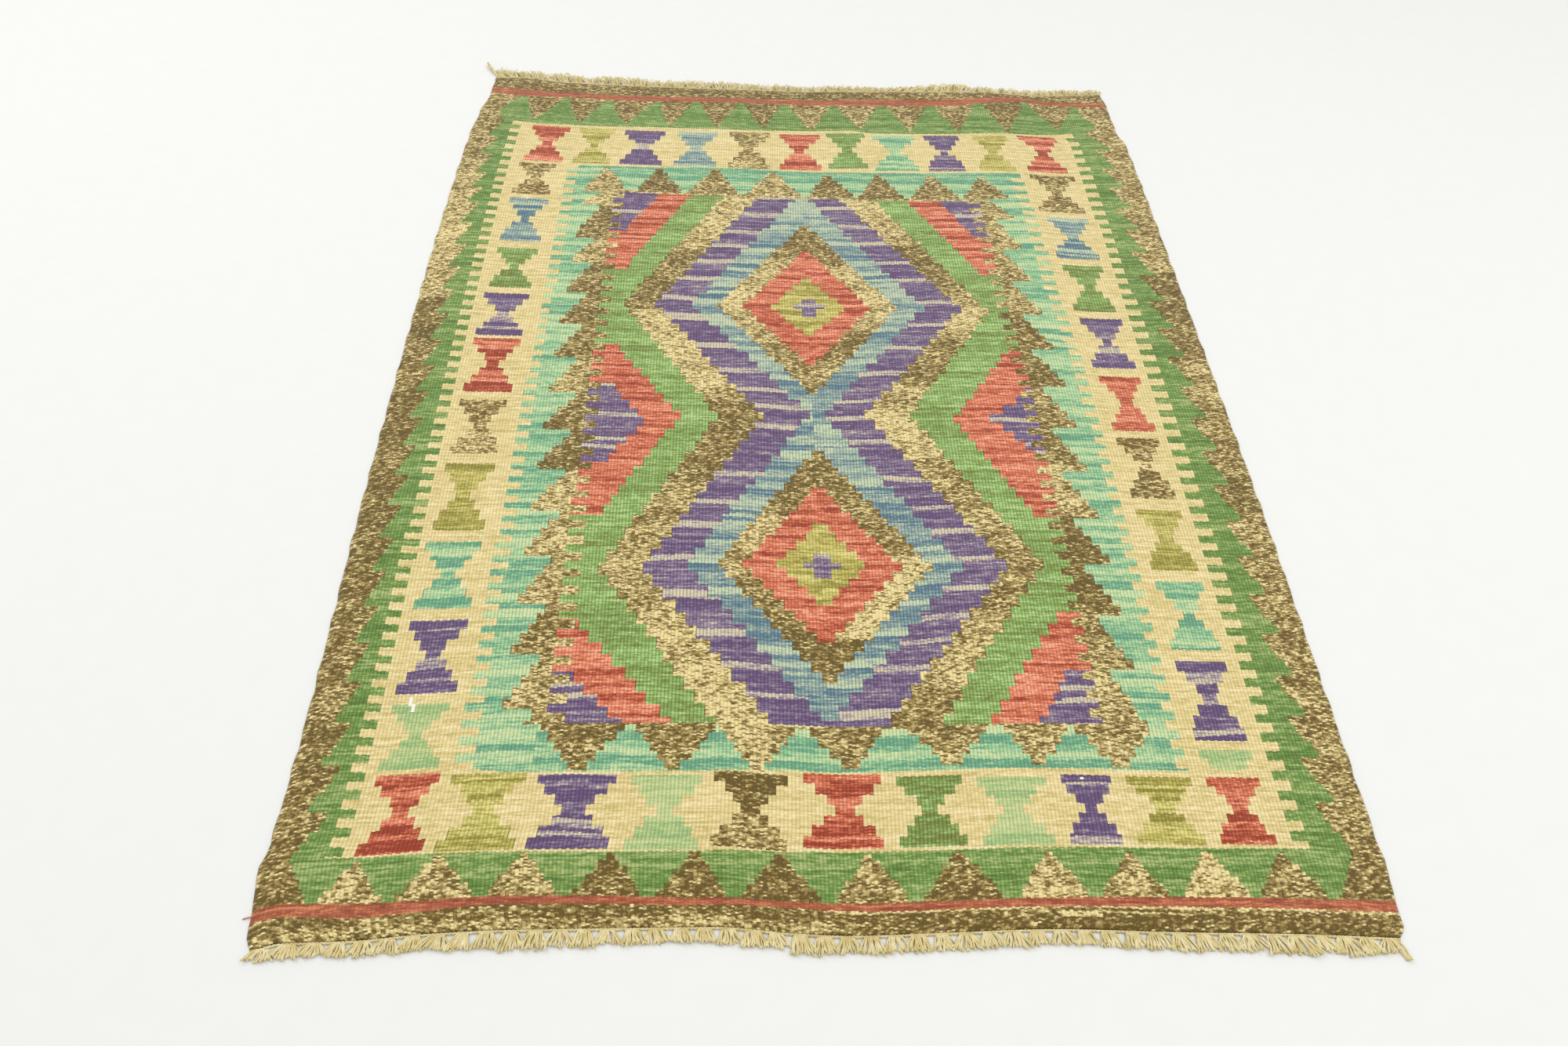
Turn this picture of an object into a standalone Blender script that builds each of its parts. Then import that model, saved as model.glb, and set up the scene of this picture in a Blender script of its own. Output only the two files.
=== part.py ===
"""A small flat-woven kilim rug with cut warp fringes, lying on a floor.

Metres, +Z up. The weaver's frame is used for every place on the cloth: "across" runs from the left
selvedge to the right one, "along" from the far end to the near one. The origin is the middle of the
rug's box, on the floor. +X is across, +Y points to the far end.
"""
import math
import random

import bmesh
import bpy

MM = 0.001

# Driving sizes
WIDTH = 860 * MM            # selvedge to selvedge at the corners
LENGTH = 1217 * MM          # corner to corner along the selvedges
THICKNESS = 3.0 * MM        # weft-faced wool cloth
RIM_THICKNESS = 2.2 * MM    # the selvedges and ends are beaten thinner
RIM_INSET = 5.0 * MM
PIECE_GAP = 0.35 * MM       # between the cloth's end and the cord

# Fringe sizes
BUNCHES = 48                # bunches of warp ends at each end
LOCKS_PER_BUNCH = 3
CORD_WIDTH = 2.2 * MM
CORD_HEIGHT = 2.4 * MM
LOCK_ROOT_WIDTH = 2.3 * MM
LOCK_ROOT_GAP = 0.6 * MM
LOCK_ROOT_HEIGHT = 2.0 * MM
LOCK_BEND_WIDTH = 2.6 * MM
LOCK_TIP_WIDTH = 2.8 * MM
LOCK_TIP_HEIGHT = 0.9 * MM
LOCK_TOP_SHARE = 0.6        # a lock's top is narrower than its base
LOCK_BEND_AT = 0.5          # share of the length where a lock bends
TIP_SPREAD = 5.2 * MM       # from one lock's tip to the next in a bunch
LEAN_CHANGE = 1.2 * MM      # how much a bunch may lean off its neighbours
LEAN_KEPT = 0.5             # share of that lean which the next bunch takes over

# The hand-woven cloth isn't square: how far each corner lies from the corner of a true rectangle
CORNER_SHIFT = {            # x, y in metres
    "far_left": (3.2 * MM, 7.9 * MM),
    "far_right": (1.7 * MM, -8.5 * MM),
    "near_right": (0.3 * MM, 3.9 * MM),
    "near_left": (-0.2 * MM, -3.2 * MM),
}

# Moves the rug so that its box, fringes included, is centred on the origin
CENTRE_SHIFT = (0.36 * MM, -13.73 * MM)

# Selvedges, mm: along, across. Each edge bows out between the corners.
LEFT_SELVEDGE = (
    (0, 1.4), (47, 0.8), (62, -3.4), (100, -7.8), (131, -11.2), (270, -15.0), (408, -16.3),
    (743, -13.3), (1077, -5.9), (1136, -6.7), (1152, -9.5), (1188, -5.9), (1201, -5.0), (1217, 1.4),
)
RIGHT_SELVEDGE = (
    (0, 856.0), (36, 859.0), (83, 859.7), (107, 861.3), (123, 866.8), (408, 870.8), (743, 872.7),
    (1077, 869.1), (1166, 868.3), (1192, 865.9), (1209, 864.4), (1217, 859.7),
)
# Ends, mm: across, along. The beating drew the end rows in by different amounts.
FAR_END = (
    (0, 3.0), (36, 1.5), (92, 9.5), (149, 13.5), (210, 15.0), (312, 16.5), (432, 17.0), (500, 13.0),
    (579, 9.5), (690, 4.5), (760, 10.0), (800, 8.0), (860, 1.5),
)
NEAR_END = (
    (0, 1217.0), (20, 1211.5), (73, 1210.0), (125, 1205.5), (192, 1203.0), (338, 1202.5),
    (398, 1208.0), (443, 1210.5), (510, 1209.0), (588, 1207.0), (692, 1210.5), (783, 1213.0),
    (860, 1217.0),
)

# Low swells where the cloth stands off the floor: across, along, half-width, half-length, height, mm
SWELLS = (
    (130, 250, 190, 70, 1.8),
    (700, 330, 170, 90, 2.2),
    (250, 800, 210, 60, 1.6),
    (690, 860, 200, 80, 2.0),
    (420, 1040, 260, 50, 1.3),
    (440, 150, 240, 55, 1.4),
)

# Fringe lengths, mm: across, length
FAR_FRINGE = (
    (0, 21), (60, 19), (150, 18), (300, 17), (430, 14), (520, 11), (600, 14), (640, 18), (700, 10),
    (770, 13), (860, 11),
)
NEAR_FRINGE = (
    (0, 11), (60, 12), (200, 15), (300, 13), (390, 14), (500, 15), (600, 13), (700, 15), (800, 15),
    (860, 12),
)
# How far the tips lie to the right of the roots, mm: across, lean
FAR_LEAN = (
    (0, -7), (60, -8), (110, -5), (200, -3), (300, 0), (420, 1), (520, 4), (590, 8), (630, 7),
    (690, 3), (760, 0), (860, 1),
)
NEAR_LEAN = (
    (0, -2), (60, -1), (150, -3), (250, 0), (330, 2), (400, 3), (450, 0), (560, 2), (650, 1),
    (750, 4), (860, 5),
)
CORNER_TAIL = {"far": 34 * MM, "near": 16 * MM}     # the longer yarn at one corner of each end
TAIL_LEAN = {"far": -20 * MM, "near": 7 * MM}

# Rows of the cloth's mesh, mm along: closer near the ends, where the outline turns more
ROWS = (
    0, 14, 28, 42, 60, 80, 100, 120, 145, 180, 230, 280, 340, 400, 470, 540, 610, 680, 750, 820, 890,
    950, 1010, 1060, 1100, 1136, 1155, 1172, 1188, 1202, 1217,
)


def between(table, at):
    """The value of a two-column table at a place between its rows, on a smooth curve."""
    last = len(table) - 1
    if at <= table[0][0]:
        return table[0][1]
    if at >= table[last][0]:
        return table[last][1]
    row = next(i for i in range(last) if at <= table[i + 1][0])
    (x0, y0), (x1, y1) = table[row], table[row + 1]
    slope = (y1 - y0) / (x1 - x0)

    def slope_at(i):
        if i in (0, last):
            return slope
        before = (table[i][1] - table[i - 1][1]) / (table[i][0] - table[i - 1][0])
        after = (table[i + 1][1] - table[i][1]) / (table[i + 1][0] - table[i][0])
        return 0.0 if before * after <= 0 else 2 * before * after / (before + after)

    share = (at - x0) / (x1 - x0)
    run = x1 - x0
    return (
        y0 * (1 + 2 * share) * (1 - share) ** 2
        + y1 * share**2 * (3 - 2 * share)
        + run * slope_at(row) * share * (1 - share) ** 2
        - run * slope_at(row + 1) * share**2 * (1 - share)
    )


def floor_point(across, along):
    """Where a place on the cloth lies on the floor; both are in metres in the weaver's frame."""
    a = across / WIDTH
    b = along / LENGTH
    weights = {
        "far_left": (1 - a) * (1 - b),
        "far_right": a * (1 - b),
        "near_right": a * b,
        "near_left": (1 - a) * b,
    }
    x = across - WIDTH / 2 + CENTRE_SHIFT[0]
    y = LENGTH / 2 - along + CENTRE_SHIFT[1]
    for corner, weight in weights.items():
        x += weight * CORNER_SHIFT[corner][0]
        y += weight * CORNER_SHIFT[corner][1]
    return x, y


def cloth_point(share, row_mm):
    """A point of the cloth's outline grid: share of the width, and the row's nominal place in mm."""
    across_mm = share * WIDTH / MM
    far = between(FAR_END, across_mm)
    near = between(NEAR_END, across_mm)
    part = row_mm * MM / LENGTH
    along_mm = far + (near - far) * part
    left = between(LEFT_SELVEDGE, row_mm)
    right = between(RIGHT_SELVEDGE, row_mm)
    return (left + (right - left) * share) * MM, along_mm * MM


def swell_height(across, along):
    """How far the cloth stands off the floor."""
    height = 0.0
    for middle_across, middle_along, half_width, half_length, rise in SWELLS:
        reach = math.hypot(
            (across / MM - middle_across) / half_width, (along / MM - middle_along) / half_length
        )
        if reach < 1:
            height += rise * MM * math.cos(reach * math.pi / 2) ** 2
    return height


def material(name, colour, roughness):
    """A plain wool or cotton material."""
    made = bpy.data.materials.new(name)
    made.use_nodes = True
    shader = made.node_tree.nodes["Principled BSDF"]
    shader.inputs["Base Color"].default_value = (*colour, 1)
    shader.inputs["Roughness"].default_value = roughness
    shader.inputs["Metallic"].default_value = 0
    return made


def add_object(name, vertices, faces, made_of):
    """One closed body from its points and faces, with the faces turned outwards."""
    mesh = bpy.data.meshes.new(name)
    mesh.from_pydata(vertices, [], faces)
    work = bmesh.new()
    work.from_mesh(mesh)
    bmesh.ops.recalc_face_normals(work, faces=work.faces)
    work.to_mesh(mesh)
    work.free()
    mesh.materials.append(made_of)
    placed = bpy.data.objects.new(name, mesh)
    bpy.context.scene.collection.objects.link(placed)
    return placed


def cloth_shares():
    """The cloth's columns: one for each bunch of the fringe, with a narrow one for each rim."""
    rim = RIM_INSET / WIDTH
    inner = [i / BUNCHES for i in range(1, BUNCHES)]
    return [0.0, rim, *inner, 1 - rim, 1.0]


def cloth_rows():
    """The cloth's rows, with a narrow one for the rim at each end."""
    rim = RIM_INSET / MM
    return [ROWS[0], ROWS[0] + rim, *ROWS[1:-1], ROWS[-1] - rim, ROWS[-1]]


def build_cloth(wool):
    """The sheet: a grid of points above and below, thinner along its rim."""
    shares = cloth_shares()
    rows = cloth_rows()
    columns = len(shares)
    vertices = []
    for above in (False, True):
        for r, row in enumerate(rows):
            for c, share in enumerate(shares):
                across, along = cloth_point(share, row)
                x, y = floor_point(across, along)
                rim = r in (0, len(rows) - 1) or c in (0, columns - 1)
                thickness = RIM_THICKNESS if rim else THICKNESS
                z = 0.0 if rim else swell_height(across, along)
                vertices.append((x, y, z + (thickness if above else 0.0)))
    layer = len(rows) * columns
    faces = []
    for r in range(len(rows) - 1):
        for c in range(columns - 1):
            corner = r * columns + c
            square = (corner, corner + 1, corner + columns + 1, corner + columns)
            faces.append(square)
            faces.append(tuple(layer + point for point in square))
    top_row = [c for c in range(columns)]
    right_side = [r * columns + columns - 1 for r in range(1, len(rows))]
    bottom_row = [(len(rows) - 1) * columns + c for c in range(columns - 2, -1, -1)]
    left_side = [r * columns for r in range(len(rows) - 2, 0, -1)]
    ring = top_row + right_side + bottom_row + left_side
    for i, point in enumerate(ring):
        following = ring[(i + 1) % len(ring)]
        faces.append((point, following, layer + following, layer + point))
    return add_object("kilim_body", vertices, faces, wool)


def end_point(end, share):
    """A floor point on the cloth's end."""
    row = ROWS[0] if end == "far" else ROWS[-1]
    return floor_point(*cloth_point(share, row))


def build_fringe(end, lengths, leans, cotton, seed):
    """The cord along one end of the cloth, with its bunches of warp ends."""
    draw = random.Random(seed)
    out = 1 if end == "far" else -1
    line = [end_point(end, i / BUNCHES) for i in range(BUNCHES + 1)]
    vertices = []
    faces = []

    def point(x, y, z):
        vertices.append((x, y, z))
        return len(vertices) - 1

    def cord_ring(x, y, inner):
        """A bottom and a top point on the cord's inner or outer side."""
        offset = PIECE_GAP if inner else PIECE_GAP + CORD_WIDTH
        top = CORD_HEIGHT if inner else LOCK_ROOT_HEIGHT
        return point(x, y + out * offset, 0.0), point(x, y + out * offset, top)

    def lock_ring(x, y, width, height):
        """A lock's cross-section: base left, top left, top right, base right."""
        half = width / 2
        top_half = half * LOCK_TOP_SHARE
        return (
            point(x - half, y, 0.0), point(x - top_half, y, height),
            point(x + top_half, y, height), point(x + half, y, 0.0),
        )

    inner = [(share, cord_ring(*end_point(end, share), True)) for share in cloth_shares()]
    outer_before = cord_ring(*line[0], False)
    faces.append((*inner[0][1], outer_before[1], outer_before[0]))
    stray = 0.0
    for bunch in range(BUNCHES):
        (x0, y0), (x1, y1) = line[bunch], line[bunch + 1]
        across_mm = (bunch + 0.5) / BUNCHES * WIDTH / MM
        length = between(lengths, across_mm) * MM
        stray = LEAN_KEPT * stray + draw.uniform(-1, 1) * LEAN_CHANGE
        lean = between(leans, across_mm) * MM + stray
        tips = TIP_SPREAD * draw.uniform(0.8, 1.0)
        root_step = LOCK_ROOT_WIDTH + LOCK_ROOT_GAP
        bottoms = [outer_before[0]]
        tops = [outer_before[1]]
        for lock in range(LOCKS_PER_BUNCH):
            place = lock - (LOCKS_PER_BUNCH - 1) / 2
            sides = []
            for side in (-0.5, 0.5):
                x = (x0 + x1) / 2 + place * root_step + side * LOCK_ROOT_WIDTH
                y = y0 + (y1 - y0) * (x - x0) / (x1 - x0)
                sides.append(cord_ring(x, y, False))
            (left_base, left_top), (right_base, right_top) = sides
            root = (left_base, left_top, right_top, right_base)
            reach = length * draw.uniform(0.82, 1.0)
            sway = lean + place * tips
            tail = (end == "far" and bunch == 0 and lock == 0) or (
                end == "near" and bunch == BUNCHES - 1 and lock == LOCKS_PER_BUNCH - 1
            )
            if tail:
                reach = CORNER_TAIL[end]
                sway = TAIL_LEAN[end]
            root_x = (x0 + x1) / 2 + place * root_step
            root_y = (y0 + y1) / 2 + out * (PIECE_GAP + CORD_WIDTH)
            bend = lock_ring(
                root_x + sway * LOCK_BEND_AT**1.3, root_y + out * reach * LOCK_BEND_AT,
                LOCK_BEND_WIDTH, (LOCK_ROOT_HEIGHT + LOCK_TIP_HEIGHT) / 2,
            )
            tip = lock_ring(root_x + sway, root_y + out * reach, LOCK_TIP_WIDTH, LOCK_TIP_HEIGHT)
            for start, finish in ((root, bend), (bend, tip)):
                for i in range(4):
                    j = (i + 1) % 4
                    faces.append((start[i], start[j], finish[j], finish[i]))
            faces.append(tip)
            faces.append((bottoms[-1], tops[-1], left_top, left_base))
            bottoms += [left_base, right_base]
            tops += [left_top, right_top]
        outer_after = cord_ring(x1, y1, False)
        faces.append((bottoms[-1], tops[-1], outer_after[1], outer_after[0]))
        bottoms.append(outer_after[0])
        tops.append(outer_after[1])
        run = [ring for share, ring in inner if -0.01 < share * BUNCHES - bunch < 1.01]
        for before, after in zip(run, run[1:]):
            faces.append((*before, *reversed(after)))
        faces.append((*(ring[0] for ring in reversed(run)), *bottoms))
        faces.append((*(ring[1] for ring in reversed(run)), *tops))
        outer_before = outer_after
    faces.append((*inner[-1][1], outer_before[1], outer_before[0]))
    return add_object(f"fringe_{end}", vertices, faces, cotton)


def main():
    for old in list(bpy.data.objects):
        bpy.data.objects.remove(old)
    wool = material("wool_weave", (0.33, 0.42, 0.22), 0.9)
    cotton = material("fringe_cotton", (0.58, 0.46, 0.22), 0.9)
    build_cloth(wool)
    build_fringe("far", FAR_FRINGE, FAR_LEAN, cotton, seed=3)
    build_fringe("near", NEAR_FRINGE, NEAR_LEAN, cotton, seed=8)


main()
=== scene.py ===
"""The kilim rug, dressed: ribbed weft-faced wool in its charted pattern, with cut warp fringes.

Metres, +Z up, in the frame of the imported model. "across" runs from the left selvedge to the right one and
"along" from the far end to the near one.
"""

import math
import random

import bpy
import numpy as np
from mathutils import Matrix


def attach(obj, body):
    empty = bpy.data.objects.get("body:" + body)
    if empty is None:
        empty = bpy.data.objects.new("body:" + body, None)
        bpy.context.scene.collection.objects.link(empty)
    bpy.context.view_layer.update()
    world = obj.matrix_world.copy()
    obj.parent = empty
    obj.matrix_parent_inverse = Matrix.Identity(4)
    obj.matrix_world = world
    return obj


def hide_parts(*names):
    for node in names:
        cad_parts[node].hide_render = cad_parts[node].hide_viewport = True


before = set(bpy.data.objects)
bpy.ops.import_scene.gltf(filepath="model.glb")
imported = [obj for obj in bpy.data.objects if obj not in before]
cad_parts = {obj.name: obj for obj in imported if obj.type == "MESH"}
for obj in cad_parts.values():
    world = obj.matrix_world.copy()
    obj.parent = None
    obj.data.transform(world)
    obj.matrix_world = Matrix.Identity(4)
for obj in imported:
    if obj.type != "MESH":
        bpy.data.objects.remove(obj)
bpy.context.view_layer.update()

MM = 0.001

# -------------------- sizes, as in the part
WIDTH_MM = 860.0
LENGTH_MM = 1217.0
THICKNESS = 3.0 * MM
RIM_THICKNESS = 2.2 * MM
RIM_INSET_MM = 5.0
PIECE_GAP = 0.35 * MM
BUNCHES = 48
LOCKS_PER_BUNCH = 3
CORD_WIDTH = 2.2 * MM
LOCK_ROOT_WIDTH = 2.3 * MM
LOCK_ROOT_GAP = 0.6 * MM
TIP_SPREAD = 5.2 * MM
LEAN_CHANGE = 1.2 * MM
LEAN_KEPT = 0.5
CORNER_SHIFT = {
    "far_left": (3.2 * MM, 7.9 * MM),
    "far_right": (1.7 * MM, -8.5 * MM),
    "near_right": (0.3 * MM, 3.9 * MM),
    "near_left": (-0.2 * MM, -3.2 * MM),
}
CENTRE_SHIFT = (0.36 * MM, -13.73 * MM)

# Selvedges, mm: along, across
LEFT_SELVEDGE = (
    (0, 1.4), (47, 0.8), (62, -3.4), (100, -7.8), (131, -11.2), (270, -15.0), (408, -16.3),
    (743, -13.3), (1077, -5.9), (1136, -6.7), (1152, -9.5), (1188, -5.9), (1201, -5.0), (1217, 1.4),
)
RIGHT_SELVEDGE = (
    (0, 856.0), (36, 859.0), (83, 859.7), (107, 861.3), (123, 866.8), (408, 870.8), (743, 872.7),
    (1077, 869.1), (1166, 868.3), (1192, 865.9), (1209, 864.4), (1217, 859.7),
)
# Ends, mm: across, along
FAR_END = (
    (0, 3.0), (36, 1.5), (92, 9.5), (149, 13.5), (210, 15.0), (312, 16.5), (432, 17.0), (500, 13.0),
    (579, 9.5), (690, 4.5), (760, 10.0), (800, 8.0), (860, 1.5),
)
NEAR_END = (
    (0, 1217.0), (20, 1211.5), (73, 1210.0), (125, 1205.5), (192, 1203.0), (338, 1202.5),
    (398, 1208.0), (443, 1210.5), (510, 1209.0), (588, 1207.0), (692, 1210.5), (783, 1213.0),
    (860, 1217.0),
)
# Low swells, mm: across, along, half-width, half-length, height
SWELLS = (
    (130, 250, 190, 70, 1.8), (700, 330, 170, 90, 2.2), (250, 800, 210, 60, 1.6),
    (690, 860, 200, 80, 2.0), (420, 1040, 260, 50, 1.3), (440, 150, 240, 55, 1.4),
)
# Fringes, mm: across, length; and across, how far the tips lean to the right
FAR_FRINGE = (
    (0, 21), (60, 19), (150, 18), (300, 17), (430, 14), (520, 11), (600, 14), (640, 18), (700, 10),
    (770, 13), (860, 11),
)
NEAR_FRINGE = (
    (0, 11), (60, 12), (200, 15), (300, 13), (390, 14), (500, 15), (600, 13), (700, 15), (800, 15),
    (860, 12),
)
FAR_LEAN = (
    (0, -7), (60, -8), (110, -5), (200, -3), (300, 0), (420, 1), (520, 4), (590, 8), (630, 7),
    (690, 3), (760, 0), (860, 1),
)
NEAR_LEAN = (
    (0, -2), (60, -1), (150, -3), (250, 0), (330, 2), (400, 3), (450, 0), (560, 2), (650, 1),
    (750, 4), (860, 5),
)
CORNER_TAIL = {"far": 34 * MM, "near": 16 * MM}
TAIL_LEAN = {"far": -20 * MM, "near": 7 * MM}


# -------------------- where the cloth lies
def between(table, places):
    """A two-column table's values at many places, on a smooth curve through its rows."""
    known, values = (np.array(side, float) for side in zip(*table))
    runs = np.diff(known)
    slopes = np.diff(values) / runs
    before, after = slopes[:-1], slopes[1:]
    total = np.where(before + after == 0, 1, before + after)
    inner = np.where(before * after > 0, 2 * before * after / total, 0)
    places = np.clip(np.asarray(places, float), known[0], known[-1])
    row = np.clip(np.searchsorted(known, places, side="left") - 1, 0, len(runs) - 1)
    start_slope = np.where(row == 0, slopes[row], np.append(0, inner)[row])
    end_slope = np.where(row == len(runs) - 1, slopes[row], np.append(inner, 0)[row])
    share = (places - known[row]) / runs[row]
    return (
        values[row] * (1 + 2 * share) * (1 - share) ** 2
        + values[row + 1] * share**2 * (3 - 2 * share)
        + runs[row] * start_slope * share * (1 - share) ** 2
        - runs[row] * end_slope * share**2 * (1 - share)
    )


def floor_point(share, row_mm):
    """Where a place on the cloth lies on the floor, and its across and along in mm."""
    across_mm = share * WIDTH_MM
    far, near = between(FAR_END, across_mm), between(NEAR_END, across_mm)
    along = far + (near - far) * row_mm / LENGTH_MM
    left, right = between(LEFT_SELVEDGE, row_mm), between(RIGHT_SELVEDGE, row_mm)
    across = left + (right - left) * share
    a, b = across / WIDTH_MM, along / LENGTH_MM
    x = (across - WIDTH_MM / 2) * MM + CENTRE_SHIFT[0]
    y = (LENGTH_MM / 2 - along) * MM + CENTRE_SHIFT[1]
    weights = {
        "far_left": (1 - a) * (1 - b), "far_right": a * (1 - b),
        "near_right": a * b, "near_left": (1 - a) * b,
    }
    for corner, weight in weights.items():
        x = x + weight * CORNER_SHIFT[corner][0]
        y = y + weight * CORNER_SHIFT[corner][1]
    return x, y, across, along


def swell_height(across, along):
    """How far the cloth stands off the floor, from across and along in mm."""
    height = np.zeros_like(across)
    for middle_across, middle_along, half_width, half_length, rise in SWELLS:
        reach = np.hypot((across - middle_across) / half_width, (along - middle_along) / half_length)
        height += np.where(reach < 1, rise * MM * np.cos(reach.clip(0, 1) * math.pi / 2) ** 2, 0)
    return height


# -------------------- the charted pattern
# Places on the cloth are in mm, "across" and "along". The cloth is charted rib by rib, as a weaver
# counts it. A box is: from, to (across), from, to (along).

RIBS = 276
RIB_MM = WIDTH_MM / RIBS
CHART_MM = 0.5  # finest step along the warp
CHART_ROWS = int(LENGTH_MM / CHART_MM)
MIDDLE_LINE = 431  # down the middle of the pattern

YARNS = (
    "mottled", "border green", "beige", "turquoise", "purple", "red", "olive", "blue", "mint",
    "field green", "stripe red", "white",
)
MOTTLED, BORDER, BEIGE, TURQUOISE, PURPLE, RED, OLIVE, BLUE, MINT, GREEN, STRIPE, WHITE = range(len(YARNS))

# Shade within a yarn: 0 is its deepest dye lot, 1 its palest
MIDDLE = 0.5

# End stripe of red, mm: across, top, bottom
FAR_STRIPE = (
    (0, 27, 38), (22, 30, 44), (42, 32, 48), (80, 29, 43), (115, 27, 38), (172, 28, 41), (258, 26, 38),
    (344, 24, 35), (450, 24, 38), (640, 22, 38), (700, 14, 26), (740, 8, 18), (783, 18, 27),
    (850, 24, 34), (860, 24, 34),
)
NEAR_STRIPE = (
    (0, 1188, 1198), (37, 1189, 1199), (70, 1190, 1201), (120, 1192, 1201), (170, 1191, 1198),
    (260, 1192, 1199), (320, 1195, 1201), (405, 1193, 1198), (480, 1193, 1200), (600, 1193, 1200),
    (690, 1190, 1198), (860, 1189, 1198),
)
END_SHADE = 0.25  # of the mottled bands beyond the stripes
# Paler and darker wefts in the band beyond the near stripe, and a ripple's painted light: box, shade
# the rows of shade 0 are the ripple's painted shade, the row of 0.9 from 600 to 700 its painted highlight
END_BAND_LOTS_AND_PAINTED_RIPPLE = (
    (0, 430, 1209.5, 1217, .58), (430, 590, 1199, 1201.3, .85), (590, 860, 1197.5, 1200.5, .85),
    (640, 682, 1206.5, 1208, 0), (682, 722, 1204.8, 1206.3, 0), (722, 800, 1203, 1204.5, 0),
    (600, 700, 1203, 1204.5, .9),
)
FAR_GREEN_ROW, FAR_GREEN_HALF = 45, 390  # down to this row the border's green keeps this near the middle
# Top and bottom lines of the beige border and of its inner edge, mm: across, along
BEIGE_TOP = (
    (50, 110), (155, 108), (260, 105.5), (380, 105.5), (500, 103.5), (525, 110), (640, 110), (697, 107),
    (795, 100),
)
BEIGE_BOTTOM = ((50, 1153), (260, 1156), (330, 1156), (420, 1151), (600, 1151), (790, 1148))
TURQUOISE_TOP = ((130, 204), (250, 202), (300, 197), (400, 200), (470, 203), (600, 205), (720, 202))
TURQUOISE_BOTTOM = ((128, 1079), (170, 1085), (330, 1085), (400, 1080), (560, 1080), (720, 1080))
FIELD_TOP = ((196, 261), (480, 262), (520, 266), (662, 268))
FIELD_BOTTOM = ((196, 1039), (440, 1039), (662, 1036))

# Comb and sawtooth edges. count: (along, teeth counted so far). base, tip: (along, across).
LEFT_GREEN = dict(
    count=((106, -3), (234, 0), (297, 2), (594, 9), (1073, 21), (1155, 22.98), (1195, 22.99)),
    base=((100, 25), (700, 25), (1140, 23), (1156, 23), (1190, 39)),
    tip=((50, 44), (60, 38), (76, 30), (86, 26), (99, 29), (106, 37), (700, 38.5), (1140, 36)),
)
RIGHT_GREEN = dict(
    count=(
        (97, -3), (228.6, 0), (410, 4), (606, 8), (800, 12), (982, 16), (1106, 19), (1150, 19.98),
        (1195, 19.99),
    ),
    base=((100, 834), (1140, 835), (1152, 835), (1190, 816)),
    tip=((36, 815), (60, 821), (72, 829), (84, 834), (92, 828), (97, 817), (1140, 819)),
)
LEFT_BEIGE = dict(
    count=((109, -0.5), (251, 7), (803, 39), (999, 51), (1128, 59), (1160, 61)),
    base=((110, 49), (700, 49), (1150, 46.5)),
    tip=((110, 62.5), (700, 62), (1150, 58.5)),
)
RIGHT_BEIGE = dict(
    count=((100, -6), (219, 0), (495, 14), (811, 30), (1105, 46), (1160, 49)),
    base=((110, 785), (480, 788.5), (1150, 790.5)),
    tip=((110, 798.5), (500, 803), (1150, 804.5)),
)
LEFT_TURQUOISE = dict(
    count=((200, -0.7), (213, 0), (800, 32.6), (1073, 49.4), (1090, 50.4)),
    base=((205, 149), (700, 147), (1085, 142.5)),
    tip=((205, 138), (700, 135), (1085, 128)),
)
RIGHT_TURQUOISE = dict(
    count=((205, -1), (222, 0), (499, 15), (796, 30), (1078, 45), (1090, 46)),
    base=((205, 693), (275, 697.5), (420, 701), (490, 706), (570, 711), (870, 714), (1085, 712)),
    tip=((205, 708), (300, 713), (495, 719), (600, 723), (900, 724), (1085, 723)),
)
LEFT_MOTTLED = dict(
    count=((232, -1), (260, 0), (289, 1), (358, 2), (406, 3), (1025, 14), (1085, 15)),
    base=((258, 183), (700, 186), (1085, 184)),
    tip=((258, 161), (700, 160), (1085, 158)),
)
RIGHT_MOTTLED = dict(
    count=((214, -1), (261, 0), (308, 1), (612, 6), (802, 9), (980, 12), (1045, 13), (1100, 14)),
    base=((262, 662), (365, 664), (483, 669), (612, 673), (980, 675), (1085, 676)),
    tip=((262, 683), (365, 686), (483, 691), (612, 699), (1045, 699)),
)
LEFT_FIELD = dict(
    count=((252, 0), (624.5, 18), (941, 34), (1035, 38.8)),
    base=((258, 212), (620, 213), (1040, 212)),
    tip=((258, 199), (620, 199), (1040, 196)),
)
RIGHT_FIELD = dict(
    count=((263, -0.5), (284, 0.5), (509, 11.5), (808, 27.5), (1021, 38.5), (1040, 39.5)),
    base=((262, 632.5), (400, 640), (540, 645), (620, 648), (1030, 651)),
    tip=((262, 646.5), (400, 652), (540, 657), (620, 661), (1030, 662)),
)

# Rows of small stepped triangles, mm: apex across, apex along, base from, base to, base along; and shade
FAR_TRIANGLES = (
    (76, 101, 53, 103, 45, .35), (137, 101, 110, 160, 42, .3), (198, 101, 168, 226, 40, .35),
    (257, 101, 234, 280, 38, .35), (320, 101, 290, 342, 36, .3), (382, 101, 350, 402, 36, .25),
    (447, 101, 410, 470, 36, .4), (512, 96, 478, 537, 36, .45), (580, 102, 546, 605, 36, .4),
    (645, 102, 613, 670, 36, .4), (711, 100, 682, 740, 28, .2), (780, 88, 752, 808, 32, .35),
)
NEAR_TRIANGLES = (
    (72, 1157, 47, 92, 1190, .65), (132.6, 1156, 103, 159, 1191, .6), (196, 1157, 170, 221, 1191, .7),
    (262, 1157, 234, 284, 1192, .1), (326.5, 1157, 297, 350, 1194, .25), (390.5, 1155, 362, 420.5, 1193, .15),
    (458, 1153, 434, 487, 1191, .55), (527.5, 1153, 499.5, 559, 1192, .2), (598, 1154, 572, 624, 1191, .85),
    (659.5, 1153, 637, 685, 1190, .5), (721.5, 1152, 697, 748, 1189, .9), (778, 1151, 758, 808, 1188, .4),
)
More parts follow.
